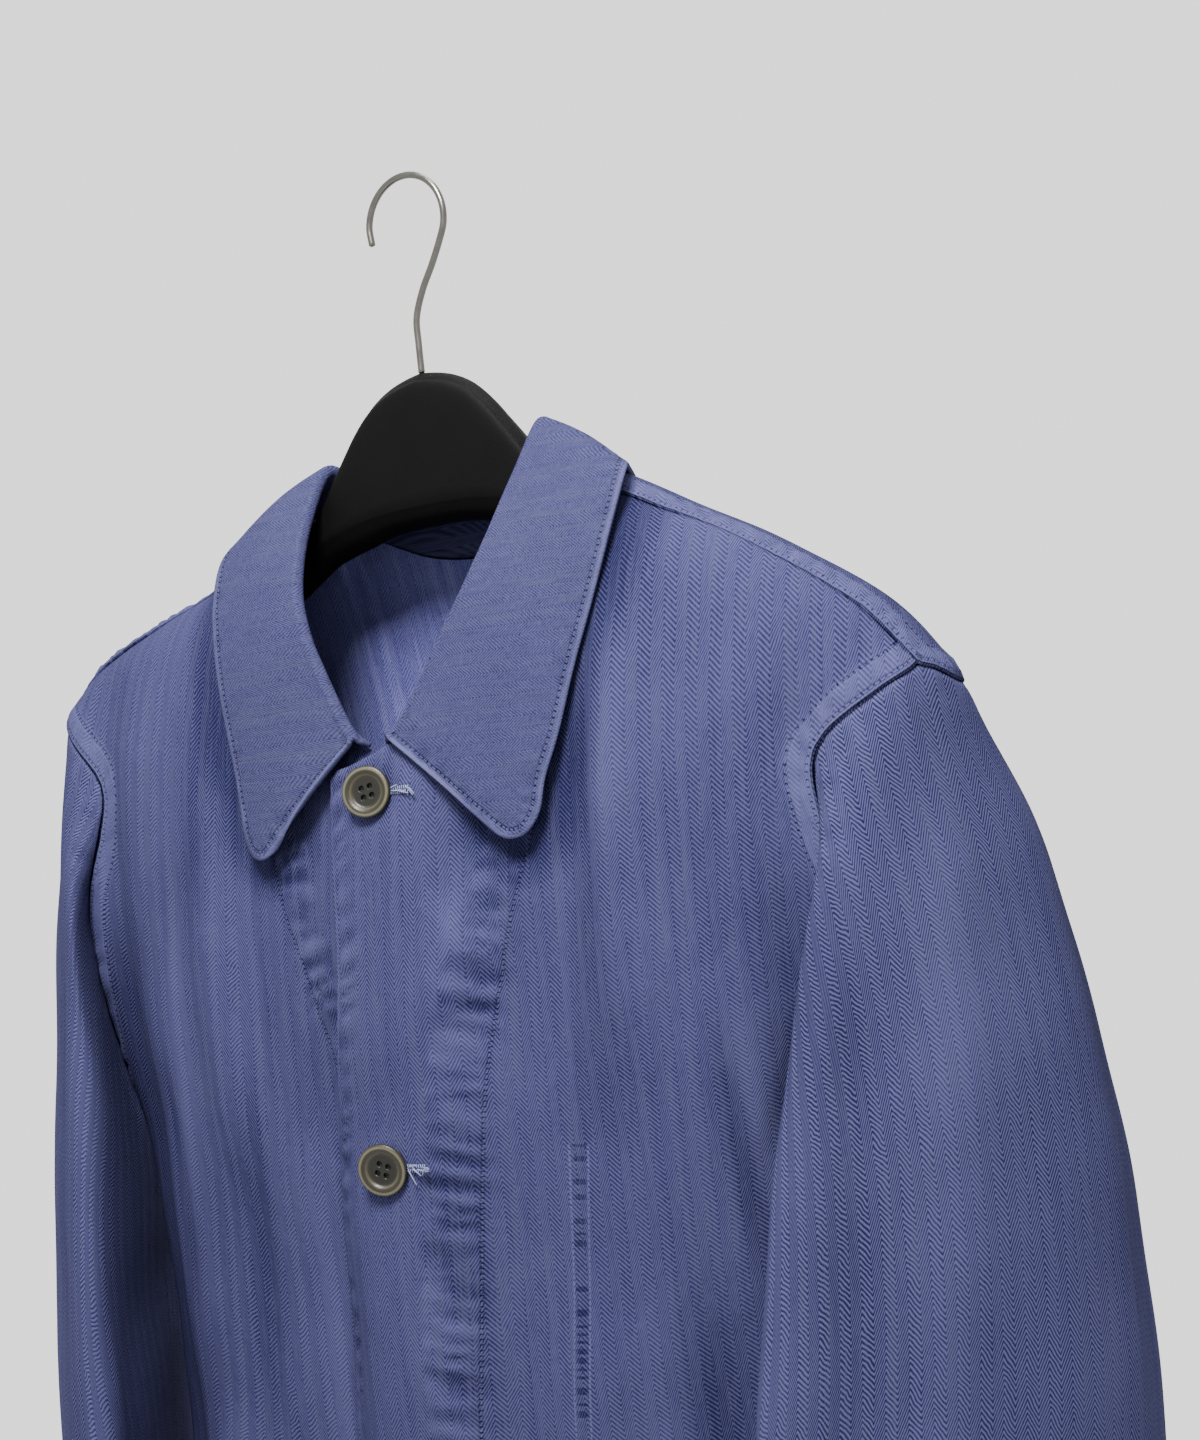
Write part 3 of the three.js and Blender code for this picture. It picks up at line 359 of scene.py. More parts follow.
neck_front = np.array([(girth_at_x(x, z, False), z) for x, z in NECK_SEAM_FRONT])
neck_back = np.array([(girth_at_x(x, z, True), z) for x, z in NECK_SEAM_BACK])
armhole_front = np.array([(girth_at_y(y, z), z) for y, z in ARMHOLE_FRONT])
armhole_back = np.array([(girth_at_y(y, z), z) for y, z in ARMHOLE_BACK])
side_heights = UNDERARM_Z + (HEM_Z - UNDERARM_Z) * np.arange(1, SIDE_ROWS + 1) / SIDE_ROWS


def shoulder_seam(share):
    """Girth and height along the shoulder seam, from the neck to the armhole."""
    neck, end = neck_front[-1], armhole_front[SEAM_END_STATION]
    if share in (0, 1):
        return neck if share == 0 else end
    z = neck[1] + (end[1] - neck[1]) * share
    start_y = plain_body(*neck)[1]
    end_y = ARMHOLE_FRONT[SEAM_END_STATION][0]
    return np.array([girth_at_y(start_y + (end_y - start_y) * share, z), z])


def panel_rows(top, left, right, fade):
    """Rows of a panel between its long edges; the top edge's shape fades out downwards."""
    places = plain_body(top[:, 0], top[:, 1])
    lengths = np.concatenate([[0], np.cumsum(np.linalg.norm(np.diff(places, axis=0), axis=1))])
    level = 0.5 * (np.arange(len(top)) / (len(top) - 1) + lengths / lengths[-1])
    first = left[0] + (right[0] - left[0]) * level[:, None]
    rows = left[:, None] + (right - left)[:, None] * level[None, :, None]
    return rows + (top - first)[None] * fade[:, None, None]


def fade_of(count, levels):
    return np.clip(1 - np.arange(count) / levels, 0, 1) ** TOP_FADE


def front_grid(side):
    """Girth and height over one front, with the columns and rows where its outline turns."""
    corner = np.array([girth_at_x(-FRONT_OVERLAP, OVERLAP_CORNER_Z, False), OVERLAP_CORNER_Z])
    seam = [shoulder_seam((i + 1) / SHOULDER_COLUMNS) for i in range(SHOULDER_COLUMNS)]
    top = np.array([corner, (corner + neck_front[0]) / 2, *neck_front, *seam])
    armhole = armhole_front[SEAM_END_STATION:]
    right = np.array([*armhole, *[(1, z) for z in side_heights]])
    levels = len(armhole) - 1
    drop = UNDERARM_Z - OVERLAP_CORNER_Z
    heights = np.array([*(OVERLAP_CORNER_Z + drop * r / levels for r in range(levels + 1)), *side_heights])
    past = along(PLACKET, "z", heights, "past") if side > 0 else np.full(len(heights), FRONT_OVERLAP)
    left = np.array([(girth_at_x(-reach, z, False), z) for reach, z in zip(past, heights)])
    rows = panel_rows(top, left, right, fade_of(len(right), levels))
    return rows, (0, 2, 1 + len(neck_front), len(top) - 1), (0, levels, len(right) - 1)


def back_grid():
    """Girth and height over the back, with the columns and rows where its outline turns."""
    seam = [shoulder_seam(i / SHOULDER_COLUMNS) for i in range(SHOULDER_COLUMNS, -1, -1)]
    half = np.array([*seam, *neck_back])
    ridge = [armhole_front[0]]
    for column, p in enumerate(half[1:], 1):
        x = plain_body(*p)[0]
        if column > SHOULDER_COLUMNS:
            z = p[1] - NECK_ROW_DROP
            ridge.append((girth_at_x(x * NECK_ROW_SPREAD, z, True), z))
        else:
            spread = NECK_ROW_SPREAD if column == SHOULDER_COLUMNS else 1
            ridge.append((1, along(SHOULDER, "width", x * spread, "z")))
    between = [armhole_front[1]]
    for column, (p, r) in enumerate(zip(half[1:], ridge[1:]), 1):
        x = (plain_body(*p)[0] + plain_body(*r)[0]) / 2
        z = (p[1] + r[1]) / 2
        between.append((girth_at_x(x, z, column > SHOULDER_COLUMNS), z))

    def both(row):
        """A row of the left half with its mirror image."""
        row = np.array(row)
        return np.concatenate([row, np.stack([4 - row[-2::-1, 0], row[-2::-1, 1]], -1)])

    armhole = [*armhole_front[:SEAM_END_STATION + 1][::-1], *armhole_back[1:]]
    left = np.array([*armhole, *[(1, z) for z in side_heights]])
    right = np.stack([4 - left[:, 0], left[:, 1]], -1)
    levels = len(armhole) - 1 - RIDGE_ROW
    fade = fade_of(len(left) - RIDGE_ROW, levels)
    lower = panel_rows(both(ridge), left[RIDGE_ROW:], right[RIDGE_ROW:], fade)
    rows = np.concatenate([[both(half), both(between)], lower])
    last = 2 * (len(half) - 1)
    turns = (0, SHOULDER_COLUMNS, last - SHOULDER_COLUMNS, last)
    return rows, turns, (0, len(armhole) - 1, len(left) - 1)


def finer_grid(grid, column_breaks, row_breaks, column_steps, row_steps):
    rows = finer(grid, row_breaks, row_steps)
    return finer(rows.transpose(1, 0, 2), column_breaks, column_steps).transpose(1, 0, 2)


# Arc lengths on the body, for the weave: across from the middle of the face, and down.
WEAVE_STEP = 4.0
WEAVE_COLUMNS = 80
WEAVE_Z = np.arange(-40, -801, -WEAVE_STEP)
WEAVE_SHARE = np.linspace(0, 1, WEAVE_COLUMNS + 1)


def arc_tables():
    found = []
    for start in (0, 2):
        girth = np.abs(start - WEAVE_SHARE)
        p = plain_body(girth[None, :], WEAVE_Z[:, None])
        across = np.linalg.norm(np.diff(p, axis=1), axis=-1)
        down = np.linalg.norm(np.diff(p, axis=0), axis=-1)
        pad_row = np.zeros((1, p.shape[1]))
        pad_column = np.zeros((p.shape[0], 1))
        found.append((
            np.cumsum(np.concatenate([pad_column, across], 1), 1),
            np.cumsum(np.concatenate([pad_row, down], 0), 0),
        ))
    return found


ARCS = arc_tables()


def weave_map(girth, z):
    """Lengths across and down the cloth."""
    w = girth - 4 * np.floor((girth + 2) / 4)
    on_front = np.abs(w) <= 1
    share = np.where(on_front, np.abs(w), 2 - np.abs(w))
    row = np.clip((WEAVE_Z[0] - z) / WEAVE_STEP, 0, len(WEAVE_Z) - 1.001)
    column = np.clip(share * WEAVE_COLUMNS, 0, WEAVE_COLUMNS - 0.001)
    r, c = row.astype(int), column.astype(int)
    fr, fc = row - r, column - c

    def read(grid):
        upper = grid[r, c] * (1 - fc) + grid[r, c + 1] * fc
        lower = grid[r + 1, c] * (1 - fc) + grid[r + 1, c + 1] * fc
        return upper * (1 - fr) + lower * fr

    across = np.where(on_front, read(ARCS[0][0]), read(ARCS[1][0]))
    down = np.where(on_front, read(ARCS[0][1]), read(ARCS[1][1]))
    return np.stack([across * np.where(w < 0, -1, 1), down], -1)


# Points are measured against a line in batches, to keep memory small.
BATCH = 4000
# Added per line to a length along it, so that no two lines share their stitches.
LINE_SHIFT = 700.0


def from_line(points, line):
    """Length along a line and distance from it, for every point."""
    flat = points.reshape(-1, 3)
    starts, ways = line[:-1], np.diff(line, axis=0)
    lengths = np.linalg.norm(ways, axis=1)
    begin = np.concatenate([[0], np.cumsum(lengths)])[:-1]
    out = np.empty((len(flat), 2))
    for first in range(0, len(flat), BATCH):
        part = flat[first:first + BATCH]
        gap = part[:, None] - starts[None]
        t = np.clip((gap * ways).sum(-1) / np.maximum(lengths ** 2, 1e-9), 0, 1)
        distance = np.linalg.norm(gap - t[..., None] * ways, axis=-1)
        k = distance.argmin(1)
        pick = np.arange(len(part))
        out[first:first + BATCH, 0] = begin[k] + t[pick, k] * lengths[k]
        out[first:first + BATCH, 1] = distance[pick, k]
    return out.reshape(points.shape[:-1] + (2,))


def nearest_line(points, lines):
    """As from_line, for the nearest of several lines."""
    found = [from_line(points, line) + np.array([LINE_SHIFT * n, 0]) for n, line in enumerate(lines)]
    best = found[0]
    for other in found[1:]:
        best = np.where((other[..., 1] < best[..., 1])[..., None], other, best)
    return best


def grid_normals(points):
    down = np.gradient(points, axis=0)
    across = np.gradient(points, axis=1)
    return unit(np.cross(across, down))


def ripple(s, period, seed):
    """An uneven wave along a seam."""

    def wave(times, shift):
        return np.sin(2 * math.pi * s / (period * times) + shift)

    wander = 1.5 * wave(5.3, seed) + wave(2.7, 2 * seed)
    return wave(1, wander) * (0.65 + 0.35 * wave(7.1, 3 * seed))


def hump(d, middle, half):
    return np.exp(-(((d - middle) / half) ** 2))


def puckers(seam, rise, middle, half, period, seed, lean=0.0):
    """Puckers in a band beside a seam; they slant where lean isn't zero."""
    s, d = seam[..., 0], seam[..., 1]
    return rise * hump(d, middle, half) * ripple(s + lean * d, period, seed)


def groove(d, depth, width):
    """The ditch that a seam pulls into the cloth."""
    return depth * np.exp(-np.abs(d) / width)


def metres(points):
    """Places on the jacket, in the frame's own metres."""
    return (points + NECK_TOP_Z * UP) / 1000


def grid_piece(name, points, maps, material, crease=None, inside=None, weld=None):
    """A skin through a grid of points, with its maps on it."""
    rows, columns = points.shape[:2]
    bm = bmesh.new()
    bmesh.ops.create_grid(bm, x_segments=columns - 1, y_segments=rows - 1, size=1)
    place = np.array([v.co[:2] for v in bm.verts])
    column = np.rint((place[:, 0] + 1) / 2 * (columns - 1)).astype(int)
    row = np.rint((place[:, 1] + 1) / 2 * (rows - 1)).astype(int)
    for v, co in zip(bm.verts, metres(points)[row, column]):
        v.co = co
    if inside is not None:
        bm.normal_update()
        centres = metres(inside)[row, column]
        if sum(v.normal.dot(v.co - Vector(c)) for v, c in zip(bm.verts, centres)) < 0:
            bmesh.ops.reverse_faces(bm, faces=bm.faces)
    mesh = bpy.data.meshes.new(name)
    bm.to_mesh(mesh)
    bm.free()
    corner = np.empty(len(mesh.loops), int)
    mesh.loops.foreach_get("vertex_index", corner)
    for map_name, values in maps.items():
        layer = mesh.uv_layers.new(name=map_name)
        lengths = values[row, column][corner] / 1000
        layer.data.foreach_set("uv", lengths.astype(np.float32).ravel())
    # The crease attribute carries each point's fade and painted shade.
    if crease is not None:
        held = mesh.attributes.new("crease", "FLOAT", "POINT")
        held.data.foreach_set("value", crease[row, column].astype(np.float32))
    if weld:
        bm = bmesh.new()
        bm.from_mesh(mesh)
        bmesh.ops.remove_doubles(bm, verts=bm.verts, dist=weld)
        if inside is None:
            bmesh.ops.recalc_face_normals(bm, faces=bm.faces)
        bm.to_mesh(mesh)
        bm.free()
    mesh.polygons.foreach_set("use_smooth", np.ones(len(mesh.polygons), bool))
    mesh.materials.append(material)
    piece = bpy.data.objects.new(name, mesh)
    bpy.context.collection.objects.link(piece)
    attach(piece, "root")
    return piece


def cloth_piece(name, points, inside, maps, material, crease, weld=None, wall=WALL, offset=-1):
    """A sheet of cloth as a thin shell; its outward side faces away from the points inside."""
    piece = grid_piece(name, points, maps, material, crease, inside, weld)
    shell = piece.modifiers.new("wall", "SOLIDIFY")
    shell.thickness = wall / 1000
    shell.offset = offset
    return piece


class Number:
    """A number socket that Python sums can be written with; each sum adds Math nodes."""

    def __init__(self, nodes, socket):
        self.nodes, self.socket = nodes, socket

    def math(self, operation, *others):
        return self.nodes.add("ShaderNodeMath", {"operation": operation}, {
            i: value for i, value in enumerate((self, *others))
        })

    def __add__(self, other):
        return self.math("ADD", other)

    __radd__ = __add__

    def __mul__(self, other):
        return self.math("MULTIPLY", other)

    __rmul__ = __mul__

    def __sub__(self, other):
        return self.math("SUBTRACT", other)

    def __rsub__(self, other):
        return (self * -1).math("ADD", other)

    def __truediv__(self, other):
        return self.math("DIVIDE", other)

    def band(self, middle, half, soft):
        """One inside a band round a value, falling off over a soft width."""
        away = (self - middle).math("ABSOLUTE")
        return self.nodes.ramp_down(away, half, soft)


class Nodes:
    """Adds the nodes of one material, with its maps and places in millimetres."""

    def __init__(self, name):
        self.material = bpy.data.materials.new(name)
        self.material.use_nodes = True
        self.tree = self.material.node_tree
        self.tree.nodes.clear()

    def add(self, kind, settings=None, sockets=None, out=0):
        node = self.tree.nodes.new(kind)
        for name, value in (settings or {}).items():
            setattr(node, name, value)
        for name, value in (sockets or {}).items():
            if isinstance(value, Number):
                value = value.socket
            if isinstance(value, bpy.types.NodeSocket):
                self.tree.links.new(value, node.inputs[name])
            else:
                node.inputs[name].default_value = value
        return Number(self, node.outputs[out])

    def ramp_down(self, value, start, soft):
        return self.add("ShaderNodeMapRange", {"interpolation_type": "SMOOTHSTEP"}, {
            "Value": value, "From Min": start, "From Max": start + soft, "To Min": 1.0, "To Max": 0.0,
        })

    def map(self, name):
        """The two lengths of one of the piece's own maps."""
        vector = self.add("ShaderNodeUVMap", {"uv_map": name})
        return [self.add("ShaderNodeSeparateXYZ", None, {0: vector}, i) * 1000 for i in (0, 1)]

    def place(self):
        """Where a point is on the object."""
        where = self.add("ShaderNodeTexCoord", None, None, 3)
        return self.add("ShaderNodeVectorMath", {"operation": "SCALE"}, {0: where, "Scale": 1000.0})

    def spot(self, x, y, z=0.0):
        return self.add("ShaderNodeCombineXYZ", None, {0: x, 1: y, 2: z})

    def noise(self, where, scale, detail=2.0, rough=0.5):
        return self.add("ShaderNodeTexNoise", None, {
            "Vector": where, "Scale": scale, "Detail": detail, "Roughness": rough,
        })

    def grain(self, x, y, z=0.0, detail=2.0, rough=0.5):
        """Noise that is stretched by lengths that were multiplied beforehand."""
        return self.noise(self.spot(x, y, z), 1.0, detail, rough)

    def mix(self, amount, *colours):
        """Two colours mixed by an amount."""
        first, second = (c if isinstance(c, Number) else (*c, 1) for c in colours)
        settings = {"data_type": "RGBA", "clamp_factor": True}
        return self.add("ShaderNodeMix", settings, {0: amount, 6: first, 7: second}, 2)

    def sewn(self, bright, height, s, d, at, length, pale, rim):
        """A row of stitches at a distance from a line: paler thread, dark holes, a shallow ditch."""
        thread, holes = stitches(s, d, at, length)
        ditch = d.band(at, 0.3, 1.0)
        bright = bright + thread * pale - holes * 0.55 - ditch * 0.06
        bright = bright + self.ramp_down(d, at - 1.0, 0.8) * rim
        return bright, height + thread * 0.3 - holes * 0.7 - ditch * 0.5

    def finish(self, sockets, height=None, strength=None, distance=None):
        """The material with its shader, and its height as a bump."""
        if height is not None:
            bump = {"Height": height, "Strength": strength, "Distance": distance}
            sockets["Normal"] = self.add("ShaderNodeBump", None, bump)
        shader = self.add("ShaderNodeBsdfPrincipled", None, sockets)
        output = self.tree.nodes.new("ShaderNodeOutputMaterial")
        self.tree.links.new(shader.socket, output.inputs[0])
        return self.material


def tinted(colour, factors):
    """A colour made paler or darker, by one factor or by one for each of its parts."""
    return np.minimum(1, np.array(tuple(colour)) * factors).tolist()


TWILL_SLOPE = 1.5


def stitches(s, d, at, length):
    """Thread along a line at a distance: where it shows, and the holes at its ends."""
    beat = (s / length).math("FRACT") - 0.5
    thread = beat.band(0.0, 0.3, 0.12) * d.band(at, 0.22, 0.3)
    near = d.band(at, 0.3, 0.5)
    return thread, (beat.band(0.5, 0.02, 0.16) + beat.band(-0.5, 0.02, 0.16)) * near


# What the cloth's colour is multiplied by where it is deepest, palest and greyest.
DEEP = (0.24, 0.25, 0.38)
PALE = (2.1, 2.08, 1.85)
GREYED = (1.45, 1.45, 1.0)
# Painted light: the back's inside is this much paler than its outside, standing in for light that reaches
# inside the neck.
INSIDE_PAINTED_LIGHT = 3.8


def cloth_material(
    name, colour, felled=None, edged=None, inner=(), pocket=False, hem=False,
    slub=0.0, lines=1.0, rim=0.45, lighter=0.0,
):
    """Washed herringbone twill with its seams, faded at raised edges; the crease attribute adds fade and
    painted shade.
    """
    nodes = Nodes(name)
    size = sizes()
    u, v = nodes.map("weave")
    where = nodes.spot(u, v)
    slip = nodes.noise(where, 0.09) - 0.5
    wandered = u + slip * 1.4
    zigzag = wandered.math("PINGPONG", size.stripe / 2)
    phase = (v + slip * 2.4 + zigzag * TWILL_SLOPE) / size.twill
    line = (phase * 2 * math.pi).math("SINE")
    yarn = nodes.grain(u * 2.2, v * 0.3) - 0.5
    pick = nodes.grain(u * 0.25, v * 1.7, detail=1.0) - 0.5
    long = nodes.grain(u * 1.5, v * 0.05, 7.0) - 0.5
    streak = nodes.grain(u * 0.2, v * 0.007, 3.0, 3.0, 0.6) - 0.5
    cloud = nodes.noise(where, 0.016, 4.0, 0.55) - 0.5
    blotch = nodes.noise(nodes.spot(u, v, 40.0), 0.07, 3.0, 0.6) - 0.5
    turn = zigzag.band(0.0, 0.1, 0.5) + zigzag.band(size.stripe / 2, 0.1, 0.5)
    column = (wandered / size.stripe).math("FRACT").band(0.25, 0.2, 0.08) - 0.5
    clear = nodes.noise(nodes.spot(u, v, 90.0), 0.03) * 0.5 + 0.72

    twill = line * clear * 0.5 * lines + column * (streak + 0.5) * 0.1 * (1 - slub)
    bright = 0.98 + lighter + twill + yarn * 0.7 + pick * (0.35 + 0.5 * slub) + long * 0.35
    bright = bright + streak * 0.55 * (1 - slub) + cloud * 0.25 + blotch * 0.2 - turn * 0.05 * lines
    height = line * clear * (0.09 - 0.05 * slub) + yarn * 0.2 + pick * (0.1 + 0.1 * slub) - turn * 0.06
    if edged is not None:
        s, d = nodes.map("edge")
        ridge = nodes.grain(s * 0.14, d * 0.1, detail=1.0)
        fray = nodes.grain(s * 0.7, d * 0.7)
        bright = bright + nodes.ramp_down(d, 0.7, 1.0) * (fray * 0.8 + rim)
        bright = bright + nodes.ramp_down(d, 1.0, 7.0) * (ridge - 0.5)
        for at in edged:
            bright, height = nodes.sewn(bright, height, s, d, at, size.stitch, 0.3, 0.1)
    if felled is not None:
        s, d = nodes.map("felled")
        ridge = nodes.grain(s * 0.13, d * 0.05, detail=1.0)
        bright = bright - nodes.ramp_down(d, 0.3, 0.7) * 0.6 + d.band(1.9, 0.5, 0.8) * 0.3
        bright = bright + d.band(6.0, 4.0, 3.0) * (ridge * 0.9 - 0.4) + d.band(12.2, 0.3, 0.6) * 0.12
        height = height - nodes.ramp_down(d, 0.25, 0.7) * 1.2
        for at in felled:
            bright, height = nodes.sewn(bright, height, s, d, at, size.stitch, 0.25, 0.2)
    if inner:
        s, d = nodes.map("inner")
        facing = d.math("LESS_THAN", 0.0) * d.band(-10.0, 9.0, 4.0)
        bright = bright + facing * (nodes.grain(s * 0.11, d * 0.03, detail=1.0) - 0.5) * 1.6
        away = d.math("ABSOLUTE")
        for at in inner:
            bright, height = nodes.sewn(bright, height, s, away, at, FACING_STITCH, 0.3, 0.0)
    if hem:
        s, d = nodes.map("hem")
        bright, height = nodes.sewn(bright, height, s, d, HEM_ROW, size.stitch, 0.3, 0.1)
    if pocket:
        s, d = nodes.map("pocket")
        down = s + POCKET_TOP_Z
        below = down.math("GREATER_THAN", 0.0)
        pits = nodes.grain(s * 0.34, 0.0, detail=0.0).math("LESS_THAN", 0.47)
        away = d.math("ABSOLUTE")
        bright = bright - below * pits * nodes.ramp_down(away, 1.2, 2.4) * 0.6
        thread, hole = stitches(s, away, POCKET_ROW, POCKET_STITCH)
        rows = thread * 0.6 - hole * 0.4 + away.band(POCKET_ROW, 0.3, 0.7) * 0.35
        bright = bright + below * rows
        bright = bright - down.band(0.6, 0.3, 0.5) * nodes.ramp_down(away, 3.4, 0.5) * 0.45
        height = height - below * nodes.ramp_down((away - POCKET_ROW).math("ABSOLUTE"), 0.2, 0.7) * 0.4
    # Fade and painted shade from the crease attribute: paler where the cloth is raised, darker in its
    # hollows, with painted shadows and highlights.
    crease = nodes.add("ShaderNodeAttribute", {"attribute_name": "crease"}, None, 2)
    bright = bright + crease * 0.38
    tone = nodes.mix((bright - 0.35) / 1.4, tinted(colour, DEEP), tinted(colour, PALE))
    tone = nodes.mix((long + streak) * 1.5, tone, tinted(colour, GREYED))
    return nodes.finish({
        "Base Color": tone, "Roughness": 0.95, "Specular IOR Level": 0.02,
    }, height, 0.9, 0.0008)


def sizes():
    return bpy.context.scene.jacket_sizes


def colours():
    return bpy.context.scene.jacket_colours


def swatch(name, description, default):
    return FloatVectorProperty(name=name, description=description, subtype="COLOR", default=default)


class JacketSizes(bpy.types.PropertyGroup):
    stripe: FloatProperty(
        name="Herringbone", description="Width of one herringbone repeat, in millimetres", default=9.6,
    )
    twill: FloatProperty(
        name="Twill line", description="Height of one twill line, in millimetres", default=2.0,
    )
    stitch: FloatProperty(
        name="Stitch", description="Length of one stitch, in millimetres", default=2.7,
    )
    button: FloatProperty(
        name="Button", description="Radius of a button", default=0.0106, unit="LENGTH",
    )
    floor_drop: FloatProperty(
        name="Floor", description="Height of the floor", default=-1.6, unit="LENGTH",
    )


class JacketColours(bpy.types.PropertyGroup):
    body: swatch("Body", "Colour of the body's cloth", (0.0200, 0.0206, 0.0560))
    sleeve: swatch("Sleeves", "Colour of the sleeves' cloth", (0.0195, 0.0201, 0.0540))
    collar: swatch("Collar", "Colour of the collar's cloth", (0.0212, 0.0219, 0.0565))
    button: swatch("Buttons", "Colour of the buttons", (0.020, 0.018, 0.011))
    hanger: swatch("Hanger", "Colour of the hanger's flock", (0.0012, 0.0012, 0.0013))
    wire: swatch("Wire", "Colour of the hook", (0.13, 0.125, 0.115))
    backdrop: swatch("Backdrop", "Colour of the studio", (0.80, 0.80, 0.795))


def front_piece(side, name, node, material):
    """One front: side is 1 for the wearer's left one, which laps over the other."""
    grid, column_breaks, row_breaks = front_grid(side)
    grid = finer_grid(grid, column_breaks, row_breaks, *FRONT_STEPS)
    girth, z = grid[..., 0] * side, grid[..., 1]
    x = plain_body(grid[..., 0], z)[..., 0]
    past = along(PLACKET, "z", z, "past")
    behind = smooth((past + 26 - x) / 20) if side < 0 else 0 * x
    points = skin(girth, z, -behind * (WALL + OVERLAP_GAP))
    normals = outward_normals(points)
    felled = from_line(points, points[:row_breaks[1] * FRONT_STEPS[1][0] + 1, -1])
    edge = nearest_line(points, [points[:, 0], points[-1]])
    facing = line_map(x, z, FACING_LEFT if side > 0 else FACING_RIGHT)
    pocket = line_map(x, z, POCKET)
    pocket[..., 1] *= POCKET_ROW / along(POCKET, "z", z, "half")
    in_pocket = smooth((POCKET_TOP_Z - z) / 4) * (side > 0)
    small = puckers(edge, 1.0, 6, 5, 10.5, 1.3 + side, 0.5)
    small += puckers(facing, 1.2, -8, 9, 10, 2.2 + side, -0.3) - groove(facing[..., 1], 0.35, 1.5)
    pinched = 0.5 + 0.5 * ripple(pocket[..., 0], 7.6, 0.4)
    small -= 0.55 * in_pocket * hump(pocket[..., 1], 0, 2.2) * pinched
    band = smooth((SEAM_ALLOWANCE - felled[..., 1]) / 2)
    small += band * (0.7 + puckers(felled, 0.9, 6, 4, 7, 0.7, 0.3)) - groove(felled[..., 1], 0.6, 1.2)
    waves = 1.3 * soft_waves(points, 3.1 + side)
    folds = creased(x, z, CREASES[side]) * smooth(edge[..., 1] / 10)
    small += waves + 1.2 * folds
    lift = PLACKET_LIFT * np.exp(-edge[..., 1] / 5) * (side > 0)
    for height in BUTTON_HEIGHTS:
        off_button = smooth((np.hypot(x, z - height) - 8) / 9)
        small *= off_button
        lift *= off_button
    points = points + normals * (small + lift)[..., None]
    maps = {
        "weave": weave_map(girth, z), "felled": felled, "edge": edge,
        "inner": facing, "pocket": pocket, "hem": from_line(points, points[-1]),
    }
    # Fade and painted shade: paler on raised folds and puckers, darker in their hollows; painted shade
    # beside the sleeve, and painted shadows beside the lap and under the collar.
    fade_and_painted_shade = small - 0.8 * waves - 0.6 * folds
    # Painted shade on the body where it turns away beside the sleeve.
    fade_and_painted_shade -= 1.2 * smooth((np.abs(points[..., 0]) - 150) / 35) * smooth((-z - 215) / 60)
    # Painted shadow on the right front beside the left front's edge.
    fade_and_painted_shade -= 1.3 * smooth((past + 11 - x) / 9) * (side < 0)
    # Painted shadow under the collar's outer edge.
    leaf = curve_through(np.array(COLLAR_FRONT)[:, 3:6], np.linspace(0, len(COLLAR_FRONT) - 1, 61))
    under = from_line(points, leaf * np.array([side, 1, 1]))[..., 1]
    fade_and_painted_shade -= 1.5 * smooth((24 - under) / 15)
    piece = cloth_piece(name, points, middle_line(points), maps, material, fade_and_painted_shade)
    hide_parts(node)
    return piece


CREASE_BEND = 3
CREASE_END = 0.35


def creased(x, z, lines):
    """Soft creases along short lines, each fading towards its ends."""
    rise = 0 * x
    for x0, z0, x1, z1, half, height in lines:
        run = np.array([x1 - x0, z1 - z0], float)
        reach = np.hypot(*run)
        t = ((x - x0) * run[0] + (z - z0) * run[1]) / reach ** 2
        away = ((x - x0) * run[1] - (z - z0) * run[0]) / reach - CREASE_BEND * np.sin(t * math.pi)
        ends = smooth(t / CREASE_END) * smooth((1 - t) / CREASE_END)
        rise = rise + height * hump(away, 0, half) * ends
    return rise


def outward_normals(points):
    normals = grid_normals(points)
    out = points * np.array([1, 1, 0]) - np.array([0, MIDDLE_Y, 0])
    return normals * np.sign((normals * out).sum())


def middle_line(points):
    """For each point, the one at its height on the jacket's middle line."""
    return points * np.array([0, 0, 1.0])


def soft_waves(p, seed):
    """Slow unevenness of cloth that hangs free."""
    x, y, z = p[..., 0], p[..., 1], p[..., 2]
    wave = np.sin(x / 13 + z / 47 + seed) + np.sin(x / 19 - z / 31 + 2.1 * seed)
    wave += 0.8 * np.sin(z / 17 + x / 23 + y / 29 + 3.3 * seed) + 0.6 * np.sin(z / 11 - x / 15 + 4.7 * seed)
    return 0.28 * wave


def line_map(x, z, line):
    """Length down from the neck along a stitch line, and distance across from it."""
    slope = np.interp(-z, -line["z"], np.gradient(line["x"], line["z"]))
    return np.stack([-z, (x - along(line, "z", z, "x")) / np.sqrt(1 + slope ** 2)], -1)


class JACKET_OT_fronts(bpy.types.Operator):
    """Both fronts, the left one over the right"""
    bl_idname = "jacket.fronts"
    bl_label = "Fronts"

    def execute(self, context):
        seams = {"felled": FELLED_ROWS, "edged": (), "inner": (0.0,), "hem": True, "lighter": 0.1}
        for side, hand in ((1, "left"), (-1, "right")):
            cloth = cloth_material(f"{hand} front cloth", colours().body, pocket=side > 0, **seams)
            piece = front_piece(side, f"cloth_front_{hand}", f"front_{hand}", cloth)
        return {"FINISHED"}


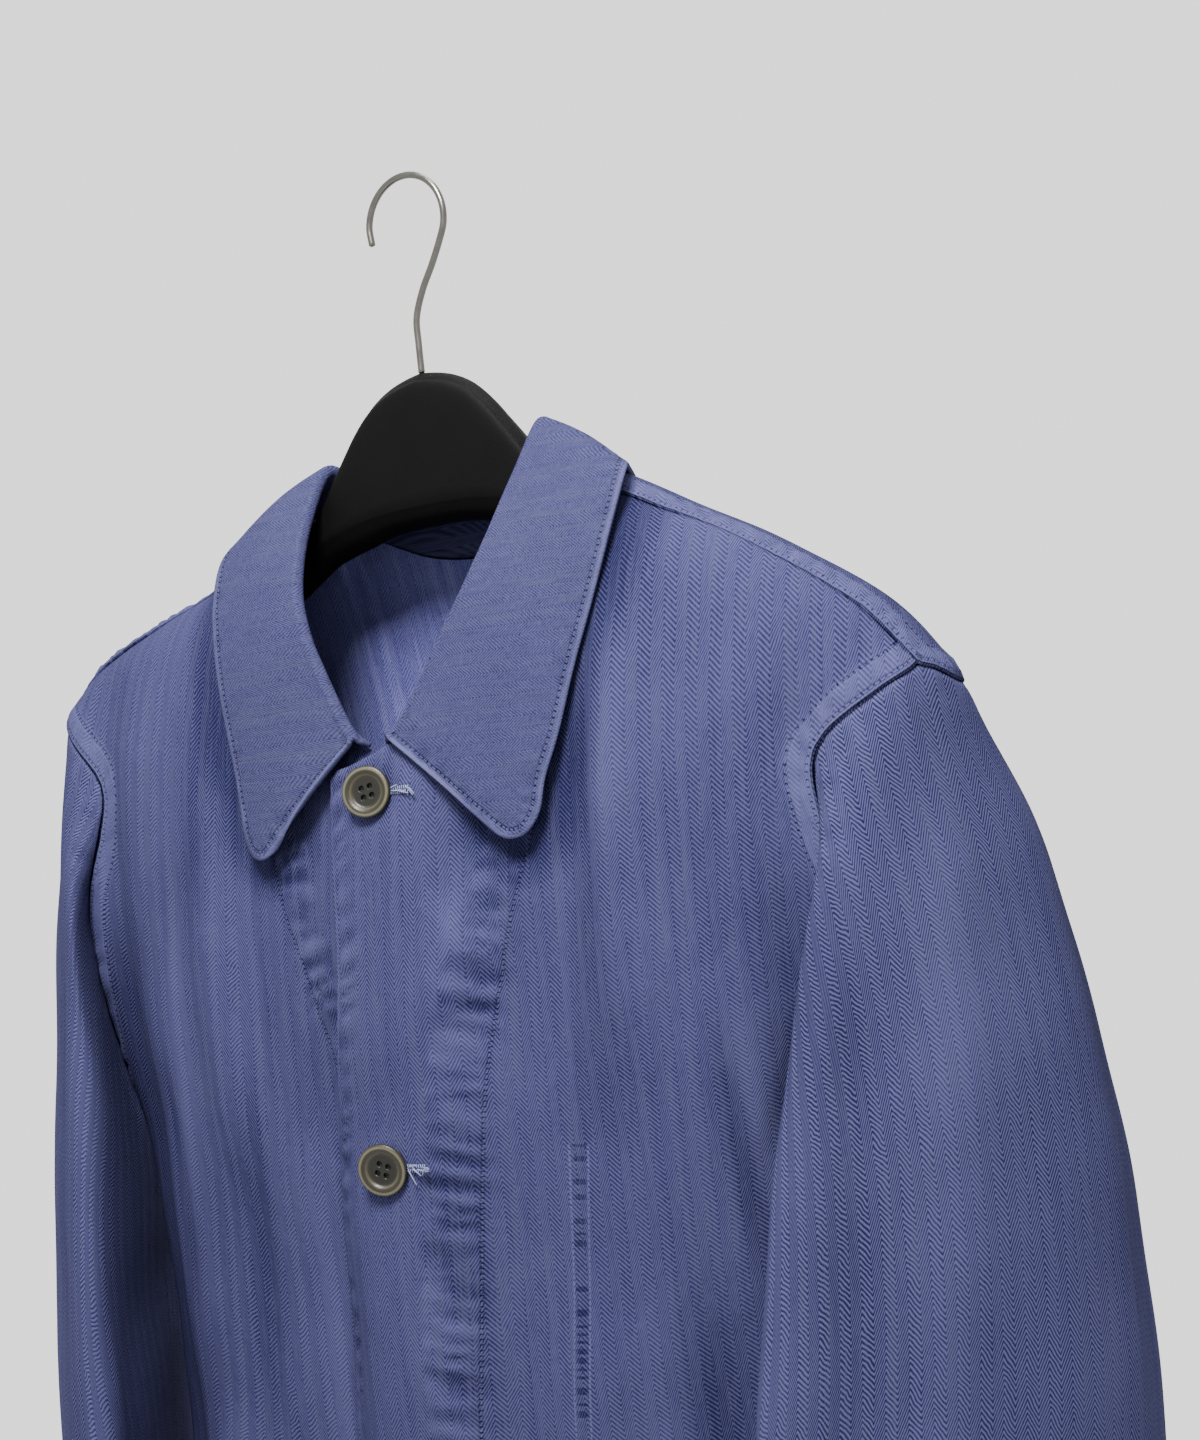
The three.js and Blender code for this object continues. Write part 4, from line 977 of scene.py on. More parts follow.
class JACKET_OT_back(bpy.types.Operator):
    """The back, over both shoulders"""
    bl_idname = "jacket.back"
    bl_label = "Back"

    def execute(self, context):
        grid, column_breaks, row_breaks = back_grid()
        grid = finer_grid(grid, column_breaks, row_breaks, *BACK_STEPS)
        girth, z = grid[..., 0], grid[..., 1]
        points = skin(girth, z)
        normals = outward_normals(points)
        seam = SHOULDER_COLUMNS * BACK_STEPS[0][0] + 1
        rows = row_breaks[1] * BACK_STEPS[1][0] + 1
        lines = [points[0, :seam], points[:rows, 0], points[0, -seam:], points[:rows, -1]]
        felled = nearest_line(points, lines)
        edge = from_line(points, points[-1])
        small = 0.8 * smooth((SEAM_ALLOWANCE - felled[..., 1]) / 2) - groove(felled[..., 1], 0.5, 1.2)
        small += puckers(felled, 0.9, 6, 4, 7.4, 4.1, 0.3)
        free = smooth(felled[..., 1] / 40)
        waves = 1.3 * soft_waves(points, 7.7) * free
        folds = creased(points[..., 0], z, BACK_CREASES) * free
        small += waves + 1.4 * folds
        points = points + normals * small[..., None]
        cloth = cloth_material("back cloth", colours().body, felled=FELLED_ROWS, edged=(HEM_ROW,))
        # Painted light: the inside of the back is a paler copy of the body's cloth.
        inside = cloth_material(
            "back inside", tinted(colours().body, INSIDE_PAINTED_LIGHT), felled=FELLED_ROWS[1:],
            edged=(HEM_ROW,), lines=0.5,
        )
        maps = {"weave": weave_map(girth, z), "felled": felled, "edge": edge}
        # Fade and painted shade: paler on raised folds and puckers, darker in their hollows, and a little
        # darker all over.
        fade_and_painted_shade = small - 0.8 * waves - 0.7 * folds - 0.3
        piece = cloth_piece("cloth_back", points, middle_line(points), maps, cloth, fade_and_painted_shade)
        piece.data.materials.append(inside)
        piece.modifiers["wall"].material_offset = 1
        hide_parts("back")
        return {"FINISHED"}


def sleeve_ring_points(step, angle):
    """Points of the sleeve at ring places and angles round it."""
    named = curve_through(SLEEVE_RINGS, step)
    outer, front, inner, rear = (named[:, i][:, None] for i in range(4))
    centre = (outer + front + inner + rear) / 4
    forward, outward = (front - rear) / 2, (outer - inner) / 2
    skew = (front + rear - outer - inner) / 4
    a = angle[None, :, None]
    return centre + forward * np.cos(a) + outward * np.sin(a) + skew * np.cos(2 * a)


def turn_of(y, z):
    """The angle round the sleeve that belongs to a point of the armhole."""
    rise = z - ARMHOLE_MIDDLE["z"]
    up = rise / (ARMHOLE_MIDDLE["above"] if rise > 0 else ARMHOLE_MIDDLE["below"])
    angle = math.atan2(up, (MIDDLE_Y - y) / ARMHOLE_MIDDLE["half"])
    return angle if y <= MIDDLE_Y else (angle if angle > 0 else angle + 2 * math.pi)


CREASES = {
    # from x, z to x, z on the front, half width and rise
    1: [
        (112, -95, 104, -225, 9, 1.5), (99, -150, 96, -300, 8, -1.3), (142, -262, 158, -400, 6, -1.9),
        (152, -270, 168, -420, 8, 1.5), (186, -262, 150, -352, 4, -1.1), (180, -292, 152, -392, 4, 0.9),
        (176, -318, 150, -440, 5, -1.0), (126, -330, 134, -620, 11, -1.4), (104, -350, 108, -700, 10, 1.3),
        (58, -430, 66, -740, 9, -1.2), (150, -440, 160, -740, 12, 1.6), (40, -200, 34, -300, 7, 1.0),
        (24, -215, 52, -262, 4, 0.8), (14, -350, 40, -392, 5, -0.9), (8, -392, 30, -450, 6, 0.9),
    ],
    -1: [
        (112, -105, 118, -240, 9, -1.3), (134, -200, 140, -380, 8, 1.2), (92, -260, 98, -480, 9, -1.3),
        (60, -300, 58, -560, 8, 1.1), (152, -280, 142, -420, 6, -1.3), (118, -420, 124, -720, 11, 1.4),
        (76, -520, 84, -760, 9, -1.1), (40, -400, 44, -600, 7, -0.8),
    ],
}
BACK_CREASES = [
    # as on the fronts
    (-60, -130, -48, -420, 11, 1.4), (30, -140, 44, -360, 10, -1.3), (96, -180, 120, -460, 12, 1.5),
    (-110, -190, -128, -480, 11, -1.6), (-10, -330, 4, -680, 13, 1.4), (70, -420, 84, -740, 11, -1.5),
    (-84, -440, -70, -760, 12, 1.5), (150, -300, 138, -640, 10, -1.3), (-160, -320, -150, -650, 10, 1.3),
    (176, -240, 150, -330, 5, -1.1), (-178, -250, -150, -345, 5, -1.2),
]

# Rings of points between one ring of the table and the next.
SLEEVE_STEPS = (8, 10, 12, 16, 18, 22, 26, 28, 26)
SLEEVE_FOLDS = [
    # angle in degrees, drift, start and end along the sleeve, half width in degrees, rise
    (70, -20, 20, 330, 9, 2.2), (38, -12, 30, 420, 8, -2.0), (120, 10, 25, 300, 10, -2.0),
    (150, 5, 40, 520, 9, 1.8), (-30, 12, 120, 560, 10, 2.0), (10, 8, 180, 590, 9, -1.8),
    (200, -10, 90, 560, 10, -2.2), (235, 8, 60, 480, 9, 1.8), (95, 6, 330, 600, 10, 1.4),
]


def sleeve_piece(side, name, node, material):
    """A sleeve, worked out on the left; the right one is turned over and lifted."""
    front = np.column_stack([armhole_front, [turn_of(y, z) for y, z in ARMHOLE_FRONT]])
    back = np.column_stack([armhole_back, [turn_of(y, z) for y, z in ARMHOLE_BACK]])
    front[0, 2] = back[0, 2] = math.pi / 2
    back[-1, 2] = 1.5 * math.pi
    front[-1, 2] = -0.5 * math.pi
    round_front = finer(front, (0, 10), (5,))
    round_back = finer(back, (0, 9), (6,))
    stations = np.concatenate([round_back[::-1], round_front[1:]])
    steps = [np.linspace(i, i + 1, n, endpoint=False) for i, n in enumerate(SLEEVE_STEPS)]
    step = np.concatenate([*steps, [len(SLEEVE_STEPS)]])
    points = sleeve_ring_points(step, stations[:, 2])
    seam = even_body(side * stations[:, 0], stations[:, 1]) * np.array([side, 1, 1])
    hold = np.clip(1 - step / 2, 0, 1) ** 2
    points = points + (seam - points[0])[None] * hold[:, None, None]
    normals = grid_normals(points)
    centre = points.mean(1, keepdims=True)
    if ((normals * (points - centre)).sum()) < 0:
        normals = -normals
    down = np.linalg.norm(np.diff(points, axis=0), axis=-1)
    v = np.concatenate([np.zeros((1, points.shape[1])), np.cumsum(down, 0)])
    v = 0.3 * v + 0.7 * v.mean(1, keepdims=True)
    across = np.linalg.norm(np.diff(points, axis=1), axis=-1)
    u = np.concatenate([np.zeros((points.shape[0], 1)), np.cumsum(across, 1)], 1)
    middle = len(round_back) - 1
    u = u - u[:, middle:middle + 1]
    degrees = np.degrees(stations[:, 2])[None, :]
    move = np.zeros(points.shape[:2])
    for angle, drift, start, end, half, rise in SLEEVE_FOLDS:
        line = angle + drift * (v - start) / (end - start)
        away = (degrees - line + 180) % 360 - 180
        move += rise * hump(away, 0, half) * smooth((v - start) / 70) * smooth((end - v) / 90)
    felled = from_line(points, points[0])
    cuff = from_line(points, points[-1])
    small = puckers(felled, 0.35, 6, 5, 11, 5.2 + side) - groove(felled[..., 1], 0.6, 1.5)
    small += puckers(cuff, 0.4, 14, 8, 11, 3.3, 0.4)
    waves = 1.5 * soft_waves(points, 1.7 + side) * smooth(felled[..., 1] / 25)
    small += waves
    move *= smooth(felled[..., 1] / 30)
    points = points + normals * (move + small)[..., None]
    if side < 0:
        points = lifted(points * MIRROR)
    inside = np.broadcast_to(points.mean(1, keepdims=True), points.shape)
    seam_line = np.stack([v, np.minimum(u - u[:, :1], u[:, -1:] - u)], -1)
    maps = {"weave": np.stack([u, v], -1), "felled": felled, "edge": cuff, "inner": seam_line}
    # Fade and painted shade: paler on the folds and darker in their hollows, with a painted highlight down
    # the front of the sleeve.
    fade_and_painted_shade = 0.3 * move + small - 0.8 * waves + 0.7 * hump((degrees + 22) % 360, 0, 20)
    piece = cloth_piece(name, points, inside, maps, material, fade_and_painted_shade, weld=2e-5)
    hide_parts(node)
    return piece


class JACKET_OT_sleeves(bpy.types.Operator):
    """Both sleeves, from the armhole to the cuff"""
    bl_idname = "jacket.sleeves"
    bl_label = "Sleeves"

    def execute(self, context):
        material = cloth_material(
            "sleeve cloth", colours().sleeve, felled=(), edged=(HEM_ROW,), inner=SLEEVE_SEAM_ROWS,
            lines=1.6, lighter=0.2,
        )
        sleeve_piece(1, "cloth_sleeve_left", "sleeve_left", material)
        sleeve_piece(-1, "cloth_sleeve_right", "sleeve_right", material)
        return {"FINISHED"}


# Columns of the collar's stand, of its turn over the fold, and of its fall.
STAND_COLUMNS = 9
TURN_COLUMNS = 9
FALL_COLUMNS = 31
COLLAR_STEPS = 8
# A point inside the neck, from which the collar faces outwards.
NECK_MIDDLE = np.array([0, 0, -120.0])


class JACKET_OT_collar(bpy.types.Operator):
    """The collar, which stands on the neck seam, folds over and falls"""
    bl_idname = "jacket.collar"
    bl_label = "Collar"

    def execute(self, context):
        seam = np.concatenate([neck_front, neck_back])
        seam[0] = seam[0] + (seam[1] - seam[0]) * 0.6
        lines = np.column_stack([seam, np.array(COLLAR_FRONT + COLLAR_BACK)])
        mirrored = lines[:-1][::-1].copy()
        mirrored[:, 0] = 4 - mirrored[:, 0]
        mirrored[:, [2, 5]] *= -1
        fine = finer(np.concatenate([lines, mirrored]), (0, 2 * len(mirrored)), (COLLAR_STEPS,))
        half = fine[:len(fine) // 2 + 1]
        girth, z, fold, edge = half[:, 0], half[:, 1], half[:, 2:5], half[:, 5:8]
        runs = np.gradient(fold, axis=0)
        runs[-1] = (1, 0, 0)
        runs[-1] *= -1 if fold[-2, 0] > 0 else 1
        runs = unit(runs)
        foot = skin(girth, z, -WALL / 2)
        seam_runs = np.gradient(skin(girth, z), axis=0)
        away = unit(np.cross(normal_of(folded_body, girth, z), seam_runs))
        lean = np.linalg.norm(np.cross(away, unit(fold - foot)), axis=1)
        foot = foot + away * (SEAM_GAP + lean * COLLAR_WALL / 2)[:, None]
        down = unit(foot - fold) + unit(edge - fold)
        down = unit(down - runs * (down * runs).sum(1, keepdims=True))
        out = np.cross(down, runs)
        centre = fold + down * FOLD_RADIUS

        def on_fold(angle):
            """Points of the turn over the fold line."""
            return centre + (out * math.sin(angle) - down * math.cos(angle)) * FOLD_RADIUS

        stand_top, fall_top = on_fold(-math.pi / 2), on_fold(math.pi / 2)
        reach = np.linalg.norm(fall_top - edge, axis=1)[:, None]
        columns = [foot + (stand_top - foot) * t for t in np.linspace(0, 1, STAND_COLUMNS)]
        turns = np.linspace(-math.pi / 2, math.pi / 2, TURN_COLUMNS)[1:-1]
        columns += [on_fold(angle) for angle in turns]
        first = len(columns)
        for t in np.linspace(0, 1, FALL_COLUMNS):
            bulge = out * math.sin(math.pi * t) * reach * COLLAR_BULGE
            columns.append(fall_top + (edge - fall_top) * t + bulge)
        left = np.stack(columns, 1)
        points = np.concatenate([left, left[:-1][::-1] * MIRROR])
        normals = grid_normals(points)
        if (normals[:, first:] * (points[:, first:] - NECK_MIDDLE)).sum() < 0:
            normals = -normals
        rim = np.concatenate([points[0, first:], points[1:, -1], points[-1, first:-1][::-1]])
        edge_map = from_line(points, rim)
        edge_map[:, :first - 2, 1] = FAR
        small = puckers(edge_map, 0.3, 5.5, 4, 9.5, 1.9) + 0.35 * hump(edge_map[..., 1], 1.2, 1.5)
        soft = 0.8 * np.sin(points[..., 0] / 21 + points[..., 2] / 33) * smooth(edge_map[..., 1] / 30)
        points = points + normals * (small + soft * (edge_map[..., 1] < 200))[..., None]
        across = np.linalg.norm(np.diff(points, axis=1), axis=-1)
        v = np.concatenate([np.zeros((points.shape[0], 1)), np.cumsum(across, 1)], 1)
        fall = points[:, first + 14]
        u = np.concatenate([[0], np.cumsum(np.linalg.norm(np.diff(fall, axis=0), axis=-1))])
        u = 0.3 * np.broadcast_to(u[:, None], v.shape)
        maps = {"weave": np.stack([points[..., 2] * 1.05, v + u], -1), "edge": edge_map}
        inside = np.broadcast_to(NECK_MIDDLE, points.shape)
        cloth = cloth_material(
            "collar cloth", colours().collar, edged=(COLLAR_ROW,), slub=0.85, lines=0.6, rim=0.65,
        )
        # The crease attribute here is the collar's puckers and raised edge: fade and painted shade, paler
        # where raised and darker where sunk.
        piece = cloth_piece(
            "cloth_collar", points, inside, maps, cloth, small, wall=COLLAR_WALL, offset=0,
        )
        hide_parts("collar")
        return {"FINISHED"}


def section_loft(path, ways, side, radii, count):
    """Rings round a path; a radius of zero closes an end."""
    turns = np.linspace(0, 2 * math.pi, count + 1)
    cross = np.cross(ways, side)
    ring = np.cos(turns)[None, :, None] * side[:, None] + np.sin(turns)[None, :, None] * cross[:, None]
    return path[:, None] + ring * radii[:, None, None]


def tube_points(path, radius, count):
    """A round wire or thread along points, with rounded ends."""
    ways = unit(np.gradient(path, axis=0))
    helper = np.array([0.0, 1.0, 0.0]) if abs(ways[:, 1]).max() < 0.9 else np.array([1.0, 0.0, 0.0])
    side = unit(np.cross(ways, np.broadcast_to(helper, ways.shape)))
    start = [path[0] - ways[0] * radius * out for out in (0.5, 0.3)]
    end = [path[-1] + ways[-1] * radius * out for out in (0.3, 0.5)]
    radii = radius * np.array([0, 0.7, *np.ones(len(path)), 0.7, 0])
    ways, side = (np.pad(v, ((2, 2), (0, 0)), "edge") for v in (ways, side))
    return section_loft(np.concatenate([start, path, end]), ways, side, radii, count)


def joined(name, pieces):
    """Several objects made into one."""
    bm = bmesh.new()
    for piece in pieces:
        bm.from_mesh(piece.data)
    mesh = pieces[0].data.copy()
    mesh.name = name
    bm.to_mesh(mesh)
    bm.free()
    for piece in pieces:
        bpy.data.meshes.remove(piece.data)
    piece = bpy.data.objects.new(name, mesh)
    bpy.context.collection.objects.link(piece)
    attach(piece, "root")
    return piece


# Button: place along the profile from its middle to the middle of its back, radius and height.
BUTTON = table("at radius height", [
    (0, 0, 1.75), (0.2, 2, 1.75), (0.46, 4.9, 1.8), (0.54, 5.9, 2.0), (0.6, 6.8, 2.75),
    (0.66, 7.7, 3.15), (0.72, 8.7, 3.2), (0.78, 9.6, 2.95), (0.82, 10, 2.3), (0.86, 9.85, 1.5),
    (0.9, 9.0, 0.5), (0.94, 7, 0), (1, 0, 0),
])
BUTTON_LIFT = 2.2
BUTTON_TURN = math.radians(15)
BUTTON_NOD = math.radians(7)
HOLE_SPREAD = 1.9
HOLE_RADIUS = 1.15
HOLE_DEPTH = 1.5
# How far each button is turned about its middle, in radians.
BUTTON_SPINS = (0.2, -0.35, 0.1, 0.5)
# The radius that the button's table is written for, in metres.
BUTTON_TABLE_RADIUS = 0.01
BUTTON_POINTS = 121
# Beside the centre line, where the placket's direction is well defined.
PLACKET_GIRTH = 0.02
OLIVE = (0.014, 0.013, 0.008)
BUTTON_MIDDLE_DARK = (0.006, 0.006, 0.0045)
BUTTON_RUBBED_HIGHLIGHT = (0.075, 0.068, 0.046)
BUTTON_PIT = (0.002, 0.002, 0.003)


def placket_axes(z):
    """The directions across, up and out of the placket at a height."""
    out = normal_of(folded_body, PLACKET_GIRTH, z)
    across = unit(np.cross(UP, out))
    return across, np.cross(out, across), out


def button_frame(z):
    """Middle of a button's back and the three directions it is set by."""
    across, _, out = placket_axes(z)
    middle = skin(0.0, z) + out * BUTTON_LIFT
    face = unit(out + across * math.tan(BUTTON_TURN) - UP * math.tan(BUTTON_NOD))
    across = unit(np.cross(UP, face))
    return middle, across, np.cross(face, across), face


def button_material():
    nodes = Nodes("button")
    x, y = nodes.map("face")
    pit, _ = nodes.map("pit")
    radius = (x * x + y * y).math("SQRT")
    where = nodes.place()
    swirl = nodes.noise(where, 0.35, 4.0, 0.6)
    fine = nodes.noise(where, 2.5, 2.0)
    brown = colours().button
    base = nodes.mix(swirl, tinted(brown, 0.55), OLIVE)
    # Darker over the middle of the face, inside the rim.
    base = nodes.mix(nodes.ramp_down(radius, 5.0, 1.8), base, BUTTON_MIDDLE_DARK)
    # Rubbed metal with a painted highlight, round the rim and the edge of the dish.
    rub_and_highlight = (radius.band(9.4, 0.25, 0.5) + radius.band(6.9, 0.15, 0.5) * 0.5) * (fine * 0.8 + 0.3)
    base = nodes.mix(rub_and_highlight, base, BUTTON_RUBBED_HIGHLIGHT)
    base = nodes.mix(nodes.ramp_down(pit, HOLE_RADIUS * 0.8, 0.3), base, BUTTON_PIT)
    return nodes.finish({
        "Base Color": base, "Roughness": fine * 0.2 + 0.24, "Specular IOR Level": 0.22,
    }, fine + swirl * 0.5, 0.25, 0.0003)


class JACKET_OT_buttons(bpy.types.Operator):
    """Four-hole buttons with a raised rim down the placket"""
    bl_idname = "jacket.buttons"
    bl_label = "Buttons"

    def execute(self, context):
        material = button_material()
        a = np.linspace(-1, 1, BUTTON_POINTS)
        gx, gy = np.meshgrid(a, a)
        at = np.maximum(np.abs(gx), np.abs(gy))
        wide = np.abs(gx) >= np.abs(gy)
        eighth = np.where(wide, gy, -gx) / np.maximum(at, 1e-9) * math.pi / 4
        turn = np.where(
            wide, eighth * np.sign(gx) + np.where(gx < 0, math.pi, 0),
            (eighth + math.pi / 2) * np.sign(gy),
        )
        radius = along(BUTTON, "at", at, "radius") * sizes().button / BUTTON_TABLE_RADIUS
        height = along(BUTTON, "at", at, "height")
        radius[at >= 1 - 1e-9] = 0
        turn = turn + 0.35
        x, y = radius * np.cos(turn), radius * np.sin(turn)
        pit = np.hypot(np.abs(x) - HOLE_SPREAD, np.abs(y) - HOLE_SPREAD)
        on_top = at < 0.5
        height = height - on_top * HOLE_DEPTH * smooth((HOLE_RADIUS + 0.12 - pit) / 0.3)
        pit = np.where(on_top, pit, FAR)
        maps = {"face": np.stack([x, y], -1), "pit": np.stack([pit, 0 * pit], -1)}
        for n, (z, spin) in enumerate(zip(BUTTON_HEIGHTS, BUTTON_SPINS)):
            middle, across, up, out = button_frame(z)
            ax = across * math.cos(spin) + up * math.sin(spin)
            ay = up * math.cos(spin) - across * math.sin(spin)
            points = middle + x[..., None] * ax + y[..., None] * ay + height[..., None] * out
            piece = grid_piece(f"dished_button_{n + 1}", points, maps, material, weld=2e-6)
            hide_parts(f"button_{n + 1}")
        return {"FINISHED"}


THREAD_RADIUS = 0.26
# The buttonhole beside each button: where its stitches start and end, and how far apart they are.
HOLE_START = 8.6
HOLE_END = 19.5
HOLE_PITCH = 1.05
LOOSE_THREADS = 9
THREAD_SEED = 11
THREAD_DEEP = (0.03, 0.035, 0.08)
THREAD_PALE = (0.16, 0.18, 0.30)


class JACKET_OT_buttonholes(bpy.types.Operator):
    """Worn buttonhole stitches and their loose threads beside each button"""
    bl_idname = "jacket.buttonholes"
    bl_label = "Buttonholes"

    def execute(self, context):
        nodes = Nodes("pale thread")
        twist = nodes.noise(nodes.place(), 1.6, 2.0)
        tone = nodes.mix(twist, THREAD_DEEP, THREAD_PALE)
        material = nodes.finish({"Base Color": tone, "Roughness": 0.8}, twist, 0.3, 0.0003)
        threads = []
        rng = np.random.default_rng(THREAD_SEED)
        for z in BUTTON_HEIGHTS:
            across, up, out = placket_axes(z)
            base = skin(0.0, z) + out * 0.35
            t = np.linspace(0, 1, 5)
            for row in (-0.75, 0.75):
                for x in np.arange(HOLE_START, HOLE_END, HOLE_PITCH):
                    start = np.array([x, row * 2.1])
                    end = np.array([x + 0.3 + rng.normal(0, 0.15), row * 0.25])
                    path = start + (end - start) * t[:, None]
                    rise = 0.15 + 0.35 * np.sin(t * math.pi)
                    line = base + path[:, :1] * across + path[:, 1:] * up + rise[:, None] * out
                    threads.append(line)
            for k in range(LOOSE_THREADS):
                start = np.array([rng.uniform(9, 21), rng.normal(0, 1.0)])
                way = rng.uniform(-0.6, 0.6) + (math.pi if k % 3 == 0 else 0)
                reach = rng.uniform(2.5, 6.5)
                t = np.linspace(0, 1, 9)
                bend = rng.normal(0, 1.5)
                x = start[0] + reach * t * math.cos(way) - bend * t * t * math.sin(way)
                y = start[1] + reach * t * math.sin(way) + bend * t * t * math.cos(way) - 1.2 * t * t
                rise = 0.3 + 1.1 * np.sin(t * 2.6) * rng.uniform(0.4, 1)
                threads.append(base + x[:, None] * across + y[:, None] * up + rise[:, None] * out)
        made = [
            grid_piece(f"thread_{n}", tube_points(line, THREAD_RADIUS, 6), {}, material, weld=1e-6)
            for n, line in enumerate(threads)
        ]
        piece = joined("buttonhole_threads", made)
        return {"FINISHED"}


# The hanger's rim stands this much higher than its section says, between the neck and the arm.
RIM_RISE = 1.8
# The rounded tips of the hanger: share of its section left, and how far out.
HANGER_TIPS = ((0.75, 0.9), (0.4, 1.5), (0, 1.7))


class JACKET_OT_hanger(bpy.types.Operator):
    """The flocked hanger, from its own sections"""
    bl_idname = "jacket.hanger"
    bl_label = "Hanger"

    def execute(self, context):
        x = np.concatenate([np.linspace(0, 100, 70), np.linspace(100, 205, 44)[1:]])
        names = ("top", "crease", "under", "thick")
        top, crease, under, thick = (along(HANGER, "x", x, name) for name in names)
        top = top + RIM_RISE * smooth((x - 8) / 20) * smooth((105 - x) / 50)
        high = crease - top
        low = crease + (under - crease) * 0.65
        zero = 0 * x
        left = [
            (zero, top), (-0.5 * thick, top + high * 0.045 - 0.6), (-0.84 * thick, top + high * 0.2),
            (-thick, crease), (-0.62 * thick, low), (zero, under),
        ]
        around = left[3:] + [(-y, z) for y, z in left[4:0:-1]] + left[:4]
        ring = np.stack([np.stack([x, y, z], -1) for y, z in around])
        ring = finer(ring, (0, 4, 10), (8, 8))
        half = ring.transpose(1, 0, 2)
        end = half[-1:]
        middle = end.mean(1, keepdims=True)
        tips = [middle + (end - middle) * share + (out, 0, 0) for share, out in HANGER_TIPS]
        half = np.concatenate([half, *tips])
        points = np.concatenate([half[1:][::-1] * MIRROR, half])
        nodes = Nodes("flock")
        where = nodes.place()
        pile = nodes.noise(where, 3.2, 2.0, 0.6)
        rubbed = nodes.noise(where, 0.05, 3.0)
        black = colours().hanger
        tone = nodes.mix(pile * 0.5 + rubbed * 0.5, tinted(black, 0.5), tinted(black, 1.7))
        material = nodes.finish({
            "Base Color": tone, "Roughness": 0.55, "Specular IOR Level": 0.04,
        }, pile, 0.4, 0.0004)
        piece = grid_piece("flocked_hanger", points, {}, material, weld=1e-5)
        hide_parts("hanger_body")
        return {"FINISHED"}


# The hook: its stem's points from the neck upwards, and degrees round its crook.
STEM = [(0, 0, 0.3), (0, 0, 13), (0.4, 0, 24), (5, 0, 35), (11.5, 0, 45)]
CROOK_TURNS = np.radians(np.arange(-35, 196, 23))
HOOK_POINTS = 181


class JACKET_OT_hook(bpy.types.Operator):
    """The wire hook"""
    bl_idname = "jacket.hook"
    bl_label = "Hook"

    def execute(self, context):
        cos, sin = np.cos(CROOK_TURNS), np.sin(CROOK_TURNS)
        middle = WIRE_RADIUS - CROOK_RADIUS - NECK_TOP_Z
        crook = np.stack([cos * CROOK_RADIUS, 0 * cos, sin * CROOK_RADIUS + middle], -1)
        path = np.concatenate([STEM, crook])
        path = curve_through(path, np.linspace(0, len(path) - 1, HOOK_POINTS))
        nodes = Nodes("hook wire")
        where = nodes.place()
        smear = nodes.noise(where, 0.3, 3.0)
        wire = colours().wire
        material = nodes.finish({
            "Base Color": nodes.mix(smear, tinted(wire, 0.75), wire), "Metallic": 1.0,
            "Roughness": smear * 0.2 + 0.16,
        }, smear, 0.1, 0.0002)
        piece = grid_piece("wire_hook", tube_points(path, WIRE_RADIUS, 20), {}, material, weld=1e-6)
        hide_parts("hanger_hook")
        return {"FINISHED"}


# The stage, in metres: each lamp's place, size, power in watts and tint, and what they light.
LAMPS = (
    ("key", (0.30, -0.80, 0.72), 0.40, 80, (1, 0.985, 0.96)),
    ("top", (0.1, 0.3, 1.5), 0.8, 26, (1, 1, 1)),
)
LAMPS_AIM = Vector((0.05, 0, -0.25))
STUDIO_LIGHT = 2.1
FLOOR_RADIUS = 2.4
FLOOR_DULL = (0.78, 0.78, 0.775)
FLOOR_PALE = (0.84, 0.84, 0.835)
# The camera: its turn to the wearer's left, its height and roll in degrees, its aim, distance and lens.
CAMERA_TURNS = (33.02, -1.41, -6.1)
CAMERA_AIM = Vector((0.0727, 0, -0.2441))
CAMERA_DISTANCE = 0.8259
CAMERA_LENS = 50.05


